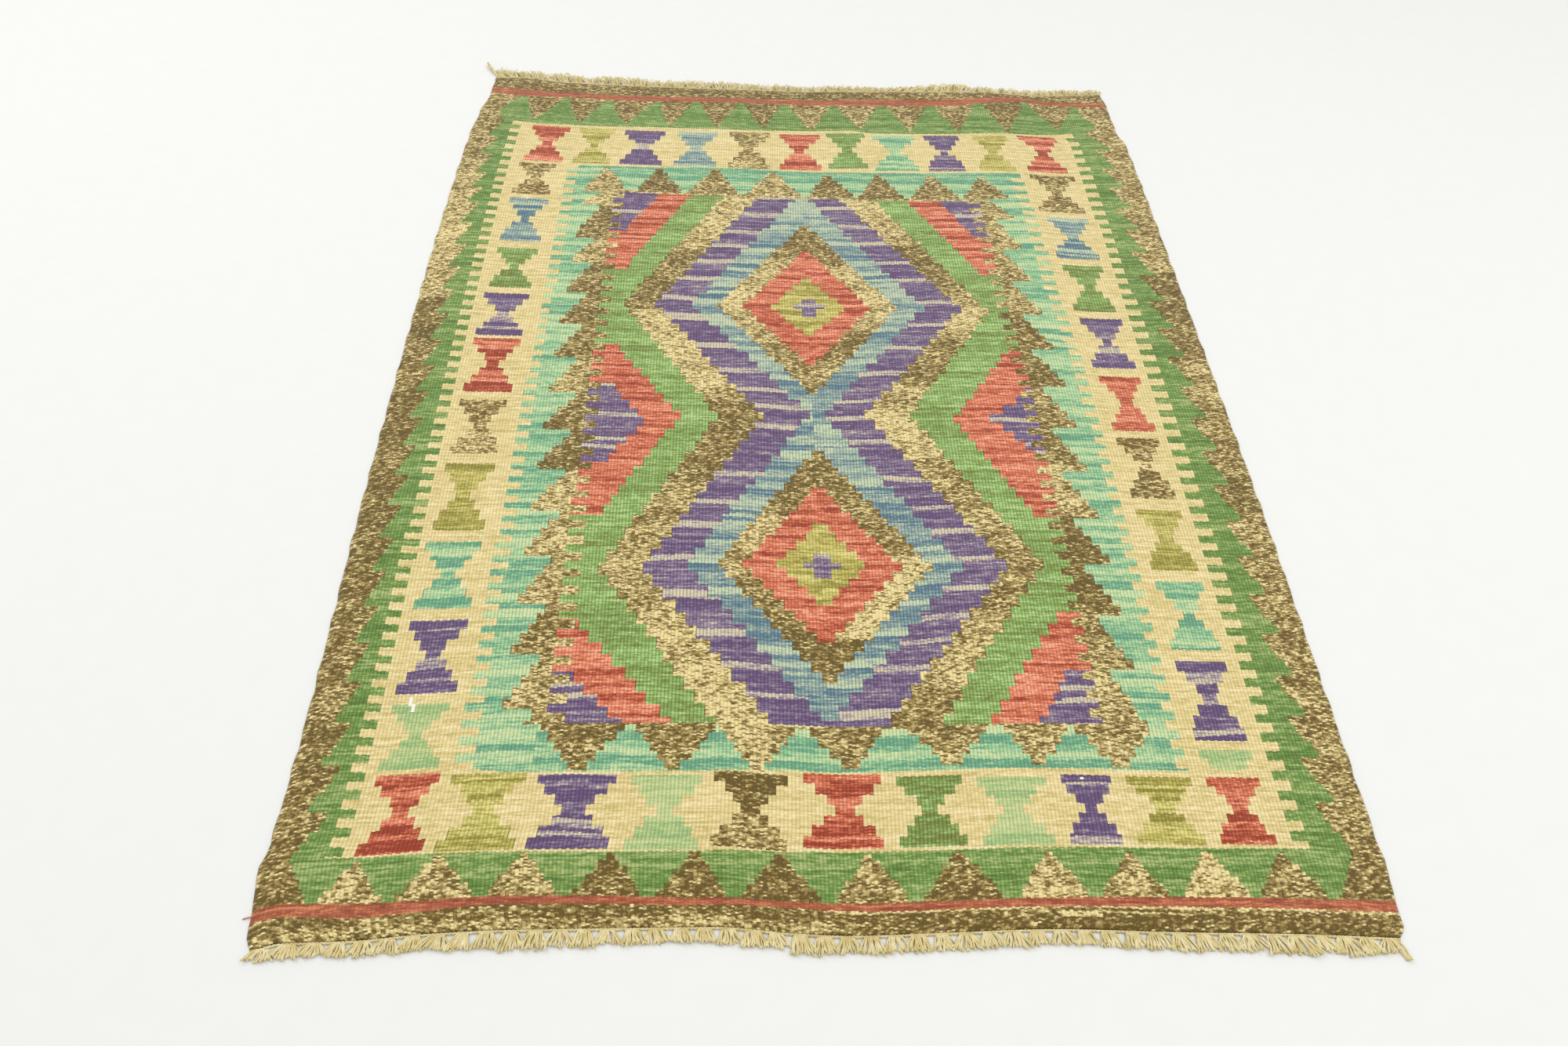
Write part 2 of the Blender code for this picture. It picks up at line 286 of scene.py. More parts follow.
FIELD_TOP_TRIANGLES = (
    (186.5, 208, 161, 213, 262, .6), (251.5, 205, 226, 281, 258, .15), (321, 202, 291, 350, 257, .4),
    (393, 205, 361, 426, 257, .65), (460, 210, 438, 491, 257, .3), (525, 209, 499, 554, 262, .2),
    (592, 212, 565, 622, 262, .45), (656, 214, 630, 684, 262, .4),
)
FIELD_BOTTOM_TRIANGLES = (
    (225.5, 1084, 193, 262, 1038, .3), (302, 1084, 270, 338, 1040, .4), (370, 1083, 341, 402, 1040, .65),
    (446.5, 1077, 414, 474, 1038, .35), (529.5, 1075, 496, 562, 1037, .55), (602, 1077, 575, 629, 1037, .5),
    (668.5, 1078, 637, 699, 1037, .6),
)

# Hourglass figures of the beige border, mm: yarn, from, to (across), from, to (along)
HOURGLASSES = (
    (RED, 78, 127, 114.5, 198), (OLIVE, 140, 187, 114.5, 198), (PURPLE, 199.5, 252.5, 115.5, 197),
    (BLUE, 267.5, 321, 114.5, 196), (MOTTLED, 336, 389, 112, 198), (RED, 402, 454, 114, 197),
    (GREEN, 465, 513, 110.5, 194), (TURQUOISE, 525, 579, 114.5, 199), (PURPLE, 591, 640, 115, 200),
    (OLIVE, 656, 704, 113, 198), (RED, 721, 770, 109, 195),
    (MOTTLED, 75, 123, 204, 273), (BLUE, 74, 122, 281, 369), (GREEN, 74, 122, 383, 457),
    (PURPLE, 73, 121, 468, 541), (RED, 73, 121, 546, 632), (MOTTLED, 72, 119, 644, 722),
    (OLIVE, 71, 118, 736, 824), (TURQUOISE, 70, 117, 838, 916), (PURPLE, 69, 117, 929, 1006),
    (MINT, 69, 115, 1016, 1078),
    (MOTTLED, 721, 775, 202, 285.5), (BLUE, 725, 776, 297, 380.5), (GREEN, 729, 777, 393, 479.5),
    (PURPLE, 733, 778.5, 492, 577), (RED, 736, 779, 591, 675.5), (MOTTLED, 736, 779.5, 686, 771.5),
    (OLIVE, 734.5, 780, 787, 865), (TURQUOISE, 736, 780, 878.5, 956), (PURPLE, 734.5, 780, 968, 1050),
    (MINT, 736, 778, 1059, 1124),
    (RED, 70, 118, 1083, 1152), (OLIVE, 128, 186.5, 1086, 1153.5), (PURPLE, 195, 260, 1087.5, 1153.5),
    (MINT, 270, 327, 1089, 1155), (MOTTLED, 337, 394.5, 1085, 1152), (RED, 409, 471, 1082, 1148),
    (GREEN, 483.5, 535, 1085, 1148), (MINT, 547, 603, 1088, 1149), (PURPLE, 615.5, 659, 1086, 1148),
    (OLIVE, 670, 723, 1086, 1146.5), (RED, 735, 779, 1085, 1145),
)
STUB, STUB_END = 30, 1079  # the place of the mint figure that was left off, and how far down it goes
# Steps of a figure: share of the height where the step ends, share of the half-width
HOURGLASS_STEPS = (
    (0.14, 1.0), (0.28, 0.74), (0.42, 0.47), (0.56, 0.25), (0.70, 0.52), (0.85, 0.78), (1.0, 1.0),
)

# Nested diamonds of the field. Edges that run down through both nests, mm: (along, across) turns
NEST_EDGES = (
    (MOTTLED, ((262, 332.5), (480, 226), (664, 333), (872, 226.5), (1040, 337.5)),
     ((262, 515.5), (486, 632), (657, 529), (862.5, 635), (1034, 525.5))),
    (PURPLE, ((262, 374), (480, 262), (661, 379.5), (869.5, 267.5), (1034, 381)),
     ((262, 475), (482, 600), (656, 483.5), (864, 602), (1030, 481.5))),
    (BLUE, ((262, 420.5), (480, 301), (655, 427), (866, 307), (1030, 424.5)),
     ((262, 437), (480, 559.5), (655, 441), (864, 560.5), (1024, 438.5))),
)
DIAMOND_TIP = 6.5  # half-width of a diamond's tip
# Diamonds inside the nests, mm: yarn, top, left, right, middle row, bottom, centre line
DIAMONDS = (
    (MOTTLED, 326, 329, 529.5, 480, 617, 431), (RED, 378, 358.5, 500, 480, 571, 431),
    (OLIVE, 430, 388.5, 471.5, 480, 521, 431),
    (MOTTLED, 714, 335, 532, 864, 987, 432), (RED, 766, 359.5, 504, 862.5, 943, 431.5),
    (OLIVE, 813, 389.5, 471.5, 860, 901.5, 431.5),
)
# Half diamonds and corner triangles at the field's sides, mm: yarn, left side?, turns (along, across)
SIDE_FIGURES = (
    (RED, True, ((262, 291.5), (410, 226))), (PURPLE, True, ((262, 253.5), (334, 220))),
    (RED, False, ((262, 554), (412, 628))), (PURPLE, False, ((266, 597), (338, 629))),
    (RED, True, ((558, 226), (663, 295.5), (799, 226))),
    (PURPLE, True, ((622, 226), (673, 260), (726, 226))),
    (RED, False, ((553, 645), (664, 573.5), (795, 637))),
    (PURPLE, False, ((621, 655), (663, 612), (716, 652))),
    (RED, True, ((936, 214), (1040, 300.5))), (PURPLE, True, ((993, 214), (1040, 257.5))),
    (RED, False, ((924, 639), (1034, 566))), (PURPLE, False, ((988, 637), (1036, 608.5))),
)
CROSSES = (  # boxes
    (422.5, 440, 463.5, 494.5), (414, 448, 472, 480.5), (422.5, 439.5, 845.5, 875.5), (414, 448, 857, 863.5),
)
# Loose white ends that show on the front: boxes
WHITE_ENDS = ((81, 83, 1009, 1017), (83, 87, 1016, 1024), (632, 637, 1088.5, 1090.5))
# Pale weft stripes, mm: from, to along the warp
LEFT_RING_STRIPES = (
    (258, 265), (295, 305), (334, 341), (363, 370), (394, 403), (428, 436), (465, 473), (496, 508),
    (545, 554), (586, 593), (616, 622), (641, 648), (672, 679), (743, 750), (783, 789), (813, 821),
    (855, 862), (897, 907), (940, 948), (975, 981), (1005, 1009),
)
RIGHT_RING_STRIPES = (
    (258, 264), (281, 288), (318, 324), (351, 358), (391, 397), (425, 431), (468, 474), (509, 515),
    (548, 554), (590, 597), (634, 639), (659, 666), (695, 702), (745, 752), (784, 789), (815, 822),
    (852, 858), (887, 894), (920, 926), (947, 952), (975, 980), (1019, 1029),
)
SIDE_STRIPES = ((296, 303), (616, 622), (661, 667), (697, 702), (708, 713), (998, 1003), (1010, 1016))

# Darker and paler lots of the mottled yarn, down the cloth, mm: (down to, shade)
MOTTLED_LOTS = {
    "left border": (
        (200, .45), (280, .6), (340, .65), (400, .75), (480, .7), (545, .2), (640, .35),
        (800, .25), (900, .3), (1050, .33), (1150, .35), (1217, .25),
    ),
    "right border": (
        (340, .5), (405, .6), (480, .15), (560, .28), (700, .48), (800, .33), (1000, .45), (1150, .5),
        (1217, .35),
    ),
    "left teeth": (
        (290, .72), (335, .25), (362, .4), (405, .65), (525, .33), (580, .37), (640, .55), (690, .3),
        (745, .2), (855, .68), (915, .6), (970, .4), (1217, .58),
    ),
    "right teeth": (
        (430, .6), (485, .55), (550, .2), (612, .25), (700, .4), (730, .3), (800, .65), (920, .22),
        (980, .5), (1217, .62),
    ),
    "left ring": (
        (300, .85), (350, .75), (380, .55), (490, .3), (620, .8), (640, .65), (760, .32), (850, .52),
        (920, .6), (1000, .75), (1217, .85),
    ),
    "right ring": (
        (340, .8), (360, .6), (440, .25), (480, .6), (520, .8), (540, .6), (600, .35), (640, .58),
        (720, .85), (790, .42), (840, .65), (900, .4), (930, .5), (1000, .65), (1217, .42),
    ),
    "left diamond": (
        (390, .3), (410, .5), (480, .8), (540, .65), (617, .5), (770, .3), (800, .4), (840, .7),
        (880, .6), (950, .3), (1217, .2),
    ),
    "right diamond": (
        (390, .3), (400, .5), (480, .75), (520, .65), (575, .35), (617, .5), (770, .3), (820, .35),
        (850, .5), (945, .83), (1217, .2),
    ),
}
# Rise of one step of the pattern, mm
NEST_RISE = 14.4
DIAMOND_RISE = 11.2
SIDE_RISE = 13.0
END_RISE = 5.6  # in the triangles of the two ends
FIELD_RISE = 9.3  # in the triangles of the field's top and bottom
SAW_STEPS = 4
TOOTH_SHARE = 0.5
TEETH_ABOVE, TEETH_BELOW = 5, 1.5  # how far the mottled teeth pass the field, mm

across_of = (np.arange(RIBS) + 0.5) * RIB_MM
along_of = (np.arange(CHART_ROWS) + 0.5) * CHART_MM
ACROSS, ALONG = np.meshgrid(across_of, along_of, indexing="ij")


def along_edge(table):
    """Where an edge that runs along the cloth lies, for each chart row."""
    return np.interp(along_of, *zip(*table))[None, :]


def across_edge(table, which=1):
    """Where an edge that runs across the cloth lies, for each rib; "which" is its column in the table."""
    columns = list(zip(*table))
    return np.interp(across_of, columns[0], columns[which])[:, None]


def tooth_edge(edge, saw, rising=False):
    """A comb's or a sawtooth's edge: between its base and its tip, for each chart row."""
    count = along_edge(edge["count"])
    share = count - np.floor(count)
    if saw:
        share = (np.floor(share * (SAW_STEPS + 1)) / SAW_STEPS).clip(0, 1)
        share = share if rising else 1 - share
    else:
        share = (share < TOOTH_SHARE).astype(float)
    base, tip = along_edge(edge["base"]), along_edge(edge["tip"])
    return base + (tip - base) * share


def stepped_edge(turns, rise):
    """A staircase through the turns (along, across), for each chart row."""
    place = np.zeros(CHART_ROWS)
    for (start, from_across), (finish, to_across) in zip(turns, turns[1:]):
        steps = max(1, round((finish - start) / rise))
        inside = (along_of >= start - rise / 2) & (along_of <= finish + rise / 2)
        share = np.round(((along_of - start) / (finish - start)).clip(0, 1) * steps) / steps
        place[inside] = (from_across + (to_across - from_across) * share)[inside]
    return place[None, :]


def between_lines(top, bottom):
    """The chart between two lines that run across the cloth."""
    return (ALONG > across_edge(top)) & (ALONG < across_edge(bottom))


def within(start, finish):
    """The chart rows between two places along the cloth."""
    return (ALONG >= start) & (ALONG < finish)


def box(start, finish, top, bottom):
    """A rectangle of the chart."""
    return within(top, bottom) & (ACROSS > start) & (ACROSS < finish)


def between_teeth(left, right, saw=False, rising=False):
    """The chart between two toothed edges."""
    return (ACROSS > tooth_edge(left, saw, rising)) & (ACROSS < tooth_edge(right, saw, rising))


def triangle_mask(apex_across, apex_along, base_from, base_to, base_along, rise):
    """A small stepped triangle."""
    steps = round(abs(base_along - apex_along) / rise)
    share = (ALONG - apex_along) / (base_along - apex_along)
    share = (np.floor(share * steps) + 1) / steps
    left = apex_across + (base_from - apex_across) * share
    right = apex_across + (base_to - apex_across) * share
    low, high = sorted((apex_along, base_along))
    return within(low, high) & (ACROSS > left) & (ACROSS < right)


def hourglass_mask(start, finish, top, bottom, end):
    """A border figure: a flange, steps to a waist, and steps out to its foot."""
    middle, half = (start + finish) / 2, (finish - start) / 2
    share = (ALONG - top) / (bottom - top)
    width = np.full(ALONG.shape, half)
    before = 0.0
    for step_end, width_share in HOURGLASS_STEPS:
        width[(share >= before) & (share < step_end)] = half * width_share
        before = step_end
    return within(top, end) & (np.abs(ACROSS - middle) < width)


def mottled_lots(name):
    """The shade of the mottled yarn down one part of the cloth, for each chart row, at its left and right."""
    sides = []
    for side in ("left", "right"):
        ends, shades = zip(*MOTTLED_LOTS[f"{side} {name}"])
        sides.append(np.array(shades)[np.searchsorted(ends, along_of).clip(0, len(ends) - 1)][None, :])
    return np.where(ACROSS < MIDDLE_LINE, *sides)


def paint(chart, mask, yarn, shade=MIDDLE):
    """Lays a yarn into the chart."""
    chart[mask] = yarn + (shade[mask] if isinstance(shade, np.ndarray) else shade)


def make_chart():
    """The yarn of every place, with its shade, from the borders inwards."""
    chart = MOTTLED + mottled_lots("border")
    far_top, far_bottom = across_edge(FAR_STRIPE, 1), across_edge(FAR_STRIPE, 2)
    near_top, near_bottom = across_edge(NEAR_STRIPE, 1), across_edge(NEAR_STRIPE, 2)

    green = between_teeth(LEFT_GREEN, RIGHT_GREEN, saw=True)
    green &= (ALONG > far_bottom) & (ALONG < near_top)
    green &= (ALONG > FAR_GREEN_ROW) | (np.abs(ACROSS - WIDTH_MM / 2) < FAR_GREEN_HALF)
    paint(chart, green, BORDER)
    for *triangle, shade in (*FAR_TRIANGLES, *NEAR_TRIANGLES):
        _, apex, base_from, base_to, base = triangle
        beyond = (ALONG > far_bottom) if base < apex else (ALONG < near_top)
        top, bottom = (0, base) if base < apex else (base, LENGTH_MM)
        paint(chart, triangle_mask(*triangle, END_RISE), MOTTLED, shade)
        paint(chart, beyond & box(base_from, base_to, top, bottom), MOTTLED, shade)
    paint(chart, (ALONG < far_top) | (ALONG > near_bottom), MOTTLED, END_SHADE)
    # the end band's lots, with the painted shade and highlight of its ripple
    for *place, shade in END_BAND_LOTS_AND_PAINTED_RIPPLE:
        paint(chart, box(*place), MOTTLED, shade)
    paint(chart, (ALONG > far_top) & (ALONG < far_bottom), STRIPE)
    paint(chart, (ALONG > near_top) & (ALONG < near_bottom), STRIPE)

    paint(chart, between_teeth(LEFT_BEIGE, RIGHT_BEIGE) & between_lines(BEIGE_TOP, BEIGE_BOTTOM), BEIGE)
    for number, (yarn, start, finish, top, bottom) in enumerate(HOURGLASSES):
        end = STUB_END if number == STUB else bottom
        paint(chart, hourglass_mask(start, finish, top, bottom, end), yarn)

    turquoise = between_lines(TURQUOISE_TOP, TURQUOISE_BOTTOM)
    paint(chart, turquoise & between_teeth(LEFT_TURQUOISE, RIGHT_TURQUOISE), TURQUOISE)
    mottled = between_teeth(LEFT_MOTTLED, RIGHT_MOTTLED, saw=True, rising=True)
    mottled &= ALONG > across_edge(FIELD_TOP) - TEETH_ABOVE
    mottled &= ALONG < across_edge(FIELD_BOTTOM) + TEETH_BELOW
    paint(chart, mottled, MOTTLED, mottled_lots("teeth"))
    for *triangle, shade in (*FIELD_TOP_TRIANGLES, *FIELD_BOTTOM_TRIANGLES):
        paint(chart, triangle_mask(*triangle, FIELD_RISE), MOTTLED, shade)

    inside = between_lines(FIELD_TOP, FIELD_BOTTOM)
    field = between_teeth(LEFT_FIELD, RIGHT_FIELD) & inside
    paint(chart, field, GREEN)
    for yarn, at_left, turns in SIDE_FIGURES:
        edge = stepped_edge(turns, SIDE_RISE)
        side = (ACROSS < edge) if at_left else (ACROSS > edge)
        rows = within(turns[0][0] - SIDE_RISE / 2, turns[-1][0] + SIDE_RISE / 2)
        paint(chart, field & side & rows, yarn)
    for yarn, left, right in NEST_EDGES:
        ring = (ACROSS > stepped_edge(left, NEST_RISE)) & (ACROSS < stepped_edge(right, NEST_RISE))
        paint(chart, ring & inside, yarn, mottled_lots("ring") if yarn == MOTTLED else MIDDLE)
    for yarn, top, left, right, middle, bottom, centre in DIAMONDS:
        sides = []
        for corner, tip in ((left, centre - DIAMOND_TIP), (right, centre + DIAMOND_TIP)):
            sides.append(stepped_edge(((top, tip), (middle, corner), (bottom, tip)), DIAMOND_RISE))
        rows = within(top - DIAMOND_RISE / 2, bottom + DIAMOND_RISE / 2)
        diamond = rows & (ACROSS > sides[0]) & (ACROSS < sides[1])
        paint(chart, diamond, yarn, mottled_lots("diamond") if yarn == MOTTLED else MIDDLE)
    for yarn, places in ((PURPLE, CROSSES), (WHITE, WHITE_ENDS)):
        for place in places:
            paint(chart, box(*place), yarn)
    return chart


# -------------------- dye lots
# A hand dyer's lots differ: how thick a band of one lot is, mm, and the shades it may have
DYE_BANDS = {
    BORDER: (6, 22, (0.38, 0.5, 0.58)),
    TURQUOISE: (4, 11, (0.1, 0.4, 0.5, 0.7, 0.95)),
    PURPLE: (8, 22, (0.12, 0.2, 0.3)),
    RED: (3, 8, (0.2, 0.45, 0.55, 0.65)),
    OLIVE: (4, 12, (0.25, 0.5, 0.7)),
    BLUE: (4, 11, (0.1, 0.35, 0.55, 0.75, 0.95)),
    MINT: (8, 20, (0.35, 0.65)),
    GREEN: (6, 20, (0.35, 0.5, 0.62)),
}
PALE = 0.97  # the palest shade: a whole number more would be the next yarn
TURQUOISE_SPLIT = 190  # its two lots meet here, those of the others on the middle line
FIGURE_SEED = 5000
FIGURE_MARGIN = 1  # a figure's yarn is looked for this far beyond its sides, mm
RINGS_BOX = (196, 662, 258, 1040)  # the field, with its purple rings
RING_SIDES = (262, 606)  # beyond these its purple belongs to the figures at its sides
# Lots that stand out: yarn, box, shade
PLACED_LOTS = (
    (BLUE, 380, 860, 258, 300, 0.85), (BLUE, 0, 860, 1008, 1217, 0.35),
    (PURPLE, 410, 450, 455, 500, 0.3), (PURPLE, 410, 450, 840, 880, 0.3),
    (PURPLE, 410, 450, 472, 477, 0.8), (PURPLE, 410, 450, 845, 851, 0.8),
)
NEAR_GREEN_ROW, NEAR_GREEN_TONE = 1085, 0.08  # from this row on the border's green is paler
WEFT_WAVES = ((310, 1.6), (140, 1.0), (61, 0.6))  # mm long, mm high
WEFT_DRIFT = (60, 180)  # how far along, mm, until such a wave has moved by one radian
WEFT_SEED = 4
# Bands of the figures that stand out, by the figure's place in HOURGLASSES: (down to, shade)
FIGURE_BANDS = {
    0: ((121, .45), (124, .1), (140, .25), (150, .7), (160, .15), (166, .85), (184, .2), (198, .7)),
    1: ((132, .7), (141, .3), (152, .7), (160, .2), (172, .7), (180, .3), (198, .6)),
    2: ((148, .2), (163, .95), (197, .2)),
    3: ((121, .9), (127, .6), (133, .25), (148, .6), (162, .8), (168, .3), (172, .6), (184, .5),
        (188, .2), (196, .7)),
    4: ((198, .7),),
    5: ((126, .5), (129, .1), (141, .55), (158, .15), (167, .85), (177, .6), (187, .1), (197, .5)),
    7: ((121, .9), (126, .5), (133, .15), (148, .5), (166, .75), (176, .2), (182, .9), (188, .4),
        (193, .9), (199, .2)),
    8: ((150, .2), (155, .8), (163, .25), (173, .5), (191, .2), (194, .95), (197, .4), (200, .9)),
    9: ((130, .7), (141, .3), (160, .6), (172, .3), (198, .65)),
    10: ((125, .5), (129, .1), (140, .75), (160, .15), (168, .45), (173, .8), (178, .2), (183, .7),
         (190, .1), (195, .5)),
    11: ((273, .42),),
    12: ((285, .8), (288, .35), (296, .92), (303, .08), (307, .95), (322, .0), (337, .2), (358, .62),
         (366, .32), (369, .6)),
    14: ((476, .2), (487, .42), (492, .6), (500, .3), (514, .97), (518, .7), (525, .22), (530, .7),
         (541, .15)),
    15: ((551, .45), (563, .75), (575, .1), (582, .35), (598, .2), (605, .7), (610, .45), (616, .85),
         (632, .15)),
    16: ((690, .35), (722, .6)),
    17: ((741, .1), (747, .3), (785, .6), (800, .5), (806, .2), (824, .35)),
    18: ((846, .3), (855, .85), (868, .15), (882, .6), (893, .25), (903, .92), (912, .05), (916, .5)),
    19: ((938, .2), (939, .8), (968, .25), (980, .8), (990, .1), (994, .65), (1006, .1)),
    21: ((222, .3), (286, .45)),
    22: ((308, .85), (318, .45), (330, .35), (341, .8), (347, .1), (351, .88), (362, .03), (369, .9),
         (372, .25), (375, .8), (381, .1)),
    24: ((500, .2), (517, .4), (525, .68), (540, .3), (551, .85), (564, .3), (567, .5), (577, .15)),
    25: ((598, .4), (640, .5), (676, .6)),
    26: ((722, .35), (735, .85), (772, .35)),
    27: ((796, .35), (832, .65), (865, .35)),
    28: ((890, .4), (897, .2), (912, .92), (928, .1), (945, .5), (951, .85), (956, .0)),
    29: ((977, .15), (990, .85), (1002, .15), (1012, .65), (1027, .08), (1038, .3), (1044, .92),
         (1050, .2)),
    31: ((1088, .5), (1096, .05), (1103, .5), (1120, .4), (1129, .6), (1138, .05), (1142, .5), (1152, .05)),
    32: ((1092, .5), (1094, .1), (1106, .65), (1111, .05), (1131, .7), (1134, .3), (1141, .7),
         (1144, .1), (1154, .45)),
    33: ((1090, .93), (1096, .15), (1101, .6), (1115, .1), (1123, .4), (1129, .1), (1136, .95),
         (1140, .15), (1144, .8), (1154, .1)),
    34: ((1100, .6), (1128, .75), (1142, .3), (1155, .6)),
    35: ((1122, .2), (1152, .6)),
    36: ((1086, .45), (1094, .3), (1103, .05), (1111, .6), (1129, .4), (1137, .05), (1142, .5),
         (1148, .05)),
    37: ((1099, .2), (1119, .35), (1148, .2)),
    38: ((1100, .5), (1107, .3), (1138, .7), (1149, .35)),
    39: ((1092, .15), (1094, .8), (1103, .35), (1126, .1), (1130, .4), (1140, .15), (1148, .82)),
    40: ((1093, .3), (1096, .7), (1099, .15), (1103, .6), (1107, .1), (1118, .7), (1126, .0),
         (1141, .65), (1147, .4)),
    41: ((1093, .15), (1117, .5), (1127, .0), (1135, .45), (1145, .05)),
}
# Figures whose yarn is darker throughout, by the same place: what is added to their shades
FIGURE_TONES = {
    1: -.1, 2: -.1, 4: -.18, 6: -.12, 8: -.14, 12: -.13, 13: -.22, 14: -.17, 15: -.1, 17: -.1, 18: -.1,
    19: -.13, 20: -.12, 23: -.18, 24: -.12, 27: -.1, 29: -.13, 33: -.1, 35: -.14, 39: -.12,
}


def wave_mm(across, along):
    """How far hand-beaten wefts run off straight, in mm."""
    draw = random.Random(WEFT_SEED)
    total = 0.0
    for length, height in WEFT_WAVES:
        turn, drift = draw.uniform(0, 2 * math.pi), draw.uniform(*WEFT_DRIFT)
        total = total + height * np.sin(2 * math.pi * across / length + turn + along / drift)
    return total


def lay_dye_bands(chart, mask, seed):
    """Shades one region of the chart band by band."""
    if not mask.any():
        return
    yarn = int(chart[mask][0])
    thin, thick, shades = DYE_BANDS[yarn]
    draw = random.Random(seed)
    rows = ALONG[mask] + WEFT_WAVE[mask]
    ends, lots = [rows.min()], [draw.choice(shades)]
    while ends[-1] < rows.max():
        ends.append(ends[-1] + draw.uniform(thin, thick))
        lots.append(draw.choice([lot for lot in shades if lot != lots[-1]] or shades))
    chart[mask] = yarn + np.array(lots)[np.searchsorted(ends, rows).clip(0, len(lots) - 1)]


def dye(chart):
    """Shades the whole chart: region by region, figure by figure, then the stripes and placed lots."""
    yarn = np.floor(chart)
    rows = ALONG + WEFT_WAVE
    for number in DYE_BANDS:
        left = ACROSS < (TURQUOISE_SPLIT if number == TURQUOISE else MIDDLE_LINE)
        lay_dye_bands(chart, (yarn == number) & left, 100 * number)
        lay_dye_bands(chart, (yarn == number) & ~left, 100 * number + 1)
    for place, (number, start, finish, top, bottom) in enumerate(HOURGLASSES):
        figure = (yarn == number) & box(start - FIGURE_MARGIN, finish + FIGURE_MARGIN, top, bottom)
        if number in DYE_BANDS:
            lay_dye_bands(chart, figure, FIGURE_SEED + place)
        above = top
        for below, shade in FIGURE_BANDS.get(place, ()):
            chart[figure & (rows >= above) & (rows < below)] = number + shade
            above = below
        chart[figure] = number + np.clip(chart[figure] - number + FIGURE_TONES.get(place, 0), 0, PALE)
    rings = box(*RINGS_BOX) & (yarn == PURPLE)
    sides = (ACROSS < RING_SIDES[0]) | (ACROSS > RING_SIDES[1])
    for stripes, zone in (
        (LEFT_RING_STRIPES, rings & ~sides & (ACROSS < MIDDLE_LINE)),
        (RIGHT_RING_STRIPES, rings & ~sides & (ACROSS > MIDDLE_LINE)), (SIDE_STRIPES, rings & sides),
    ):
        for start, finish in stripes:
            chart[zone & (rows >= start) & (rows < finish)] = PURPLE + PALE
    chart[(yarn == BORDER) & (ALONG > NEAR_GREEN_ROW)] += NEAR_GREEN_TONE
    for number, *place, shade in PLACED_LOTS:
        chart[(yarn == number) & box(*place)] = number + shade
    return chart


WEFT_WAVE = wave_mm(ACROSS, ALONG)
chart = dye(make_chart())


# -------------------- the cloth's mesh
COLUMNS = 2 * RIBS + 1  # a valley on each side of each rib, and its ridge
UNDER_STEP = 4  # the underside has one column for two ribs
RIB_RELIEF = 0.28 * MM  # ridge above valley
RIB_FADE_MM = 1.5  # the ribs fade out this far from the rim
SELVEDGE_ROUND_MM = 2.2  # the rim is rounded over this width
EDGE_SHARE = 0.45  # share of the thickness that the rim keeps
SELVEDGE_WOBBLE = ((0.6, 47, 4), (0.45, 29, -3))  # mm high, mm long, turn from side to side
WOBBLE_POWER = 32  # keeps the wobble to the selvedges
TOP_MAP = (0.004, 0.004, 0.704, 0.996)  # the place of the top in the square bake map
UNDER_MAP = (0.716, 0.004, 0.996, 0.40)
RIM_MAP = 0.004  # the rim lies this far round the top in the bake map
RIM_REACH = 0.4999  # share from the middle: only the rim is farther out
NEVER = 9.0  # past the cloth's end: no yarn changes there

END_ROWS = np.array([0, 1.4, 4.4])  # mm from each end, round the rim
INNER_ROWS, INNER_FROM = 131, 9  # how many more, and how far from the ends they start
inner_rows = np.linspace(INNER_FROM, LENGTH_MM - INNER_FROM, INNER_ROWS)
row_places = np.concatenate((END_ROWS, inner_rows, LENGTH_MM - END_ROWS[::-1]))
ROWS = len(row_places)


def edge_rise(inset):
    """Thickness of the cloth this far in from its rim, mm: full inside, thinner and rounded at the rim."""
    rim = (inset / RIM_INSET_MM).clip(0, 1)
    rounded = np.sqrt(1 - (1 - (inset / SELVEDGE_ROUND_MM).clip(0, 1)) ** 2)
    full = RIM_THICKNESS + (THICKNESS - RIM_THICKNESS) * rim
    return full * (EDGE_SHARE + (1 - EDGE_SHARE) * rounded)


def layer_points(shares, rows, top):
    """Points of the upper or the under side, row by row."""
    share, row = np.meshgrid(shares, rows)
    x, y, across, along = floor_point(share, row)
    for height, length, turn in SELVEDGE_WOBBLE:
        wobble = height * MM * np.sin(2 * math.pi * row / length + turn * share)
        x = x + wobble * (2 * share - 1) ** WOBBLE_POWER
    across_mm = share * WIDTH_MM
    inset = np.minimum(np.minimum(across_mm, WIDTH_MM - across_mm), np.minimum(row, LENGTH_MM - row))
    z = swell_height(across, along) * (inset / RIM_INSET_MM).clip(0, 1)
    if top:
        valley = 0.5 + 0.5 * np.cos(2 * math.pi * share * RIBS)
        z = z + edge_rise(inset) - RIB_RELIEF * valley * (inset / RIB_FADE_MM).clip(0, 1)
    return np.stack((x, y, z), -1).reshape(-1, 3), share.ravel(), row.ravel()


def cell_yarns():
    """For each rib and mesh row: up to four yarns met along it, and where they change."""
    yarns = np.zeros((ROWS - 1, RIBS, 4))
    turns = np.full((ROWS - 1, RIBS, 3), NEVER)
    slits = np.zeros((ROWS - 1, RIBS, 2))
    marks = np.round(row_places / CHART_MM).astype(int).clip(0, CHART_ROWS)
    for row in range(ROWS - 1):
        run = chart[:, marks[row]:max(marks[row + 1], marks[row] + 1)]
        differs = (np.abs(np.floor(run[1:]) - np.floor(run[:-1])) > 0).all(axis=1)
        slits[row, 1:, 0] = differs
        slits[row, :-1, 1] = differs
        for rib in range(RIBS):
            changes = np.flatnonzero(run[rib, 1:] != run[rib, :-1])[:3] + 1
            yarns[row, rib] = run[rib, -1]
            yarns[row, rib, :len(changes) + 1] = run[rib, [0, *changes]]
            turns[row, rib, :len(changes)] = (marks[row] + changes) * CHART_MM * MM
    return yarns, turns, slits


